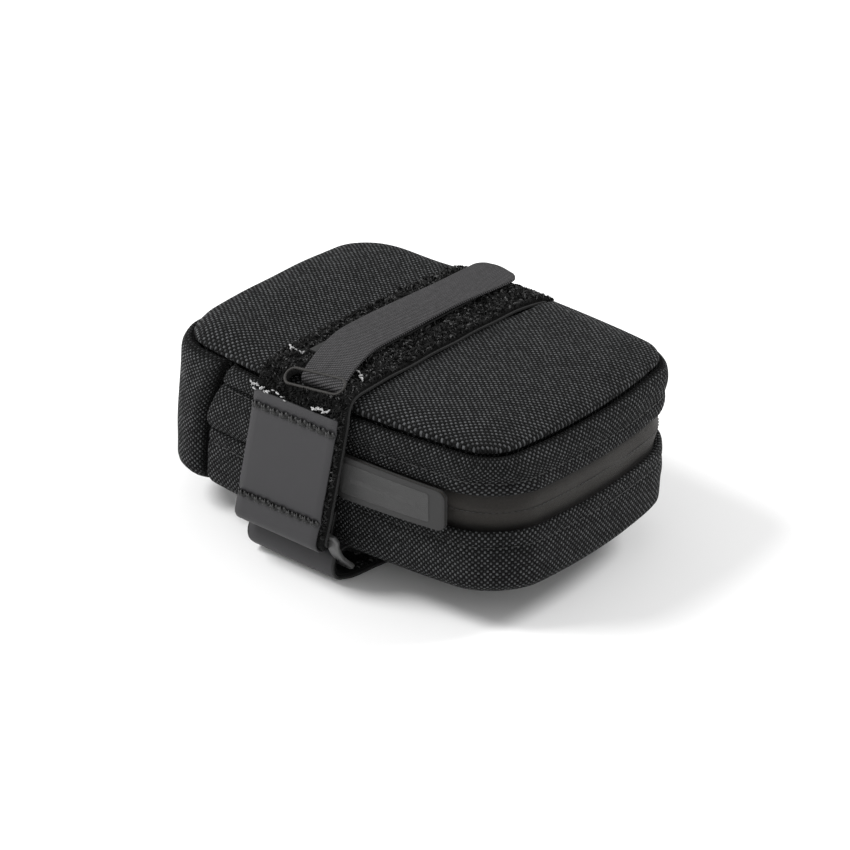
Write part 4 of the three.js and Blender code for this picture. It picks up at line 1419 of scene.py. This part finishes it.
def makePull():
    # two bonded rubber layers with a thin line between them, and an inset panel on the outer one
    q = pullShape
    back = [(5.5, 1.3), (1.0, 1.3), (0.25, 1.32), (0.06, 1.42), (0.0, 1.6), (0.0, 2.02), (0.06, 2.12),
            (1.0, 2.13), (5.5, 2.13)]
    line = [(5.5, 2.11), (0.4, 2.11), (0.16, 2.12), (0.16, 2.28), (0.4, 2.3), (5.5, 2.3)]
    front = [(5.5, 2.27), (0.2, 2.27), (0.02, 2.36), (0.0, 2.5), (0.0, 2.78), (0.07, 2.95), (0.25, 3.02),
             (1.2, 3.04), (3.0, 3.04), (5.5, 3.04)]
    size = (q["length"], q["height"], q["radius"])
    layers = (("pullBack", back, rubber), ("pullBond", line, copperLine), ("pullFront", front, rubber))
    for name, steps, material in layers:
        piece = sweep(name, plateRings(steps, *size), [material])
        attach(piece, "pull")
        if name == "pullFront":
            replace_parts(piece, "pull_tab_front", "pull_tab_back")
    panel = [(3.6, 3.0), (0.5, 3.0), (0.06, 3.03), (0.0, 3.1), (0.08, 3.16), (0.5, 3.17), (3.6, 3.17)]
    size = (q["panelLength"], q["panelHeight"], q["panelRadius"])
    piece = sweep("pullInset", plateRings(panel, *size, q["panelPlace"], 0.25), [rubberPanel])
    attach(piece, "pull")


strapRun = makeStrap()
tailPiece()
makePatch(strapRun)
makePile(strapRun)
makeRibbon()
makePaleStitches()
makeRing()
makePull()
print("strap, ribbon, ring and pull made")


# the CAD nodes that show as they are, each with a material of its own
keptNodes = {
    "top_board": foam, "end_board": foam, "bottom_board_rear": foam, "bottom_board_front": foam,
    "zip_stop_near": darkMetal, "zip_stop_far": darkMetal, "slider_body": darkMetal, "pull_link": darkMetal,
    "tail_hook": hookPlastic, "ribbon_hook": hookPlastic,
}
for node, material in keptNodes.items():
    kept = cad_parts[node].data.materials
    kept.clear()
    kept.append(material)


view = {
    "azimuth": 40.29, "elevation": 28.53, "distance": 0.8235, "lens": 123.7, "target": (0.0004, 0, 0.0281),
    "roll": -0.22,
}


def makeCamera():
    # a camera on a sphere round the target, from azimuth and elevation
    az, el = math.radians(view["azimuth"]), math.radians(view["elevation"])
    back = Vector((math.sin(az) * math.cos(el), -math.cos(az) * math.cos(el), math.sin(el)))
    data = bpy.data.cameras.new("camera")
    data.lens = view["lens"]
    data.sensor_width = 36
    data.clip_start = 0.01
    camera = bpy.data.objects.new("camera", data)
    bpy.context.scene.collection.objects.link(camera)
    camera.location = Vector(view["target"]) + back * view["distance"]
    camera.rotation_euler = back.to_track_quat("Z", "Y").to_euler()
    camera.rotation_euler.rotate_axis("Z", math.radians(view["roll"]))
    bpy.context.scene.camera = camera


def areaLight(name, place, target, size, power):
    # a disk of light that faces the target
    data = bpy.data.lights.new(name, "AREA")
    data.shape = "DISK"
    data.size = size
    data.energy = power
    light = bpy.data.objects.new(name, data)
    bpy.context.scene.collection.objects.link(light)
    light.location = place
    light.rotation_euler = (Vector(place) - Vector(target)).to_track_quat("Z", "Y").to_euler()


studio = {"skyGlow": 0.55, "floorHalf": 3, "floorDrop": 0.0003, "lightSize": 0.5, "aim": (0, 0, 0.03)}
lights = {  # each light's place and its power in watts
    "keyLight": ((-0.6, -0.5, 1.0), 13),
    "rimLight": ((0.5, 0.9, 0.9), 12),
    "endLight": ((-1.0, -0.5, 0.35), 3.5),
    "frontLight": ((0.9, -0.7, 0.5), 1.5),
}


def makeStudio():
    # a pale floor under an even sky, and the four soft lights
    scene = bpy.context.scene
    world = bpy.data.worlds.new("studio")
    scene.world = world
    world.use_nodes = True
    world.node_tree.nodes["Background"].inputs[0].default_value = (1, 1, 1, 1)
    world.node_tree.nodes["Background"].inputs[1].default_value = studio["skyGlow"]
    half = studio["floorHalf"]
    floorMesh = bpy.data.meshes.new("floor")
    floorMesh.from_pydata([(-half, -half, 0), (half, -half, 0), (half, half, 0), (-half, half, 0)], [],
                          [(0, 1, 2, 3)])
    floor = bpy.data.objects.new("floor", floorMesh)
    scene.collection.objects.link(floor)
    floor.location.z = -studio["floorDrop"]
    material, _, shader = startMaterial("paleFloor")
    shader.inputs["Base Color"].default_value = (0.86, 0.86, 0.86, 1)
    shader.inputs["Roughness"].default_value = 0.9
    floorMesh.materials.append(material)
    for name, (place, power) in lights.items():
        areaLight(name, place, studio["aim"], studio["lightSize"], power)
    scene.view_settings.view_transform = "Standard"


makeCamera()
makeStudio()
print("camera and studio made")
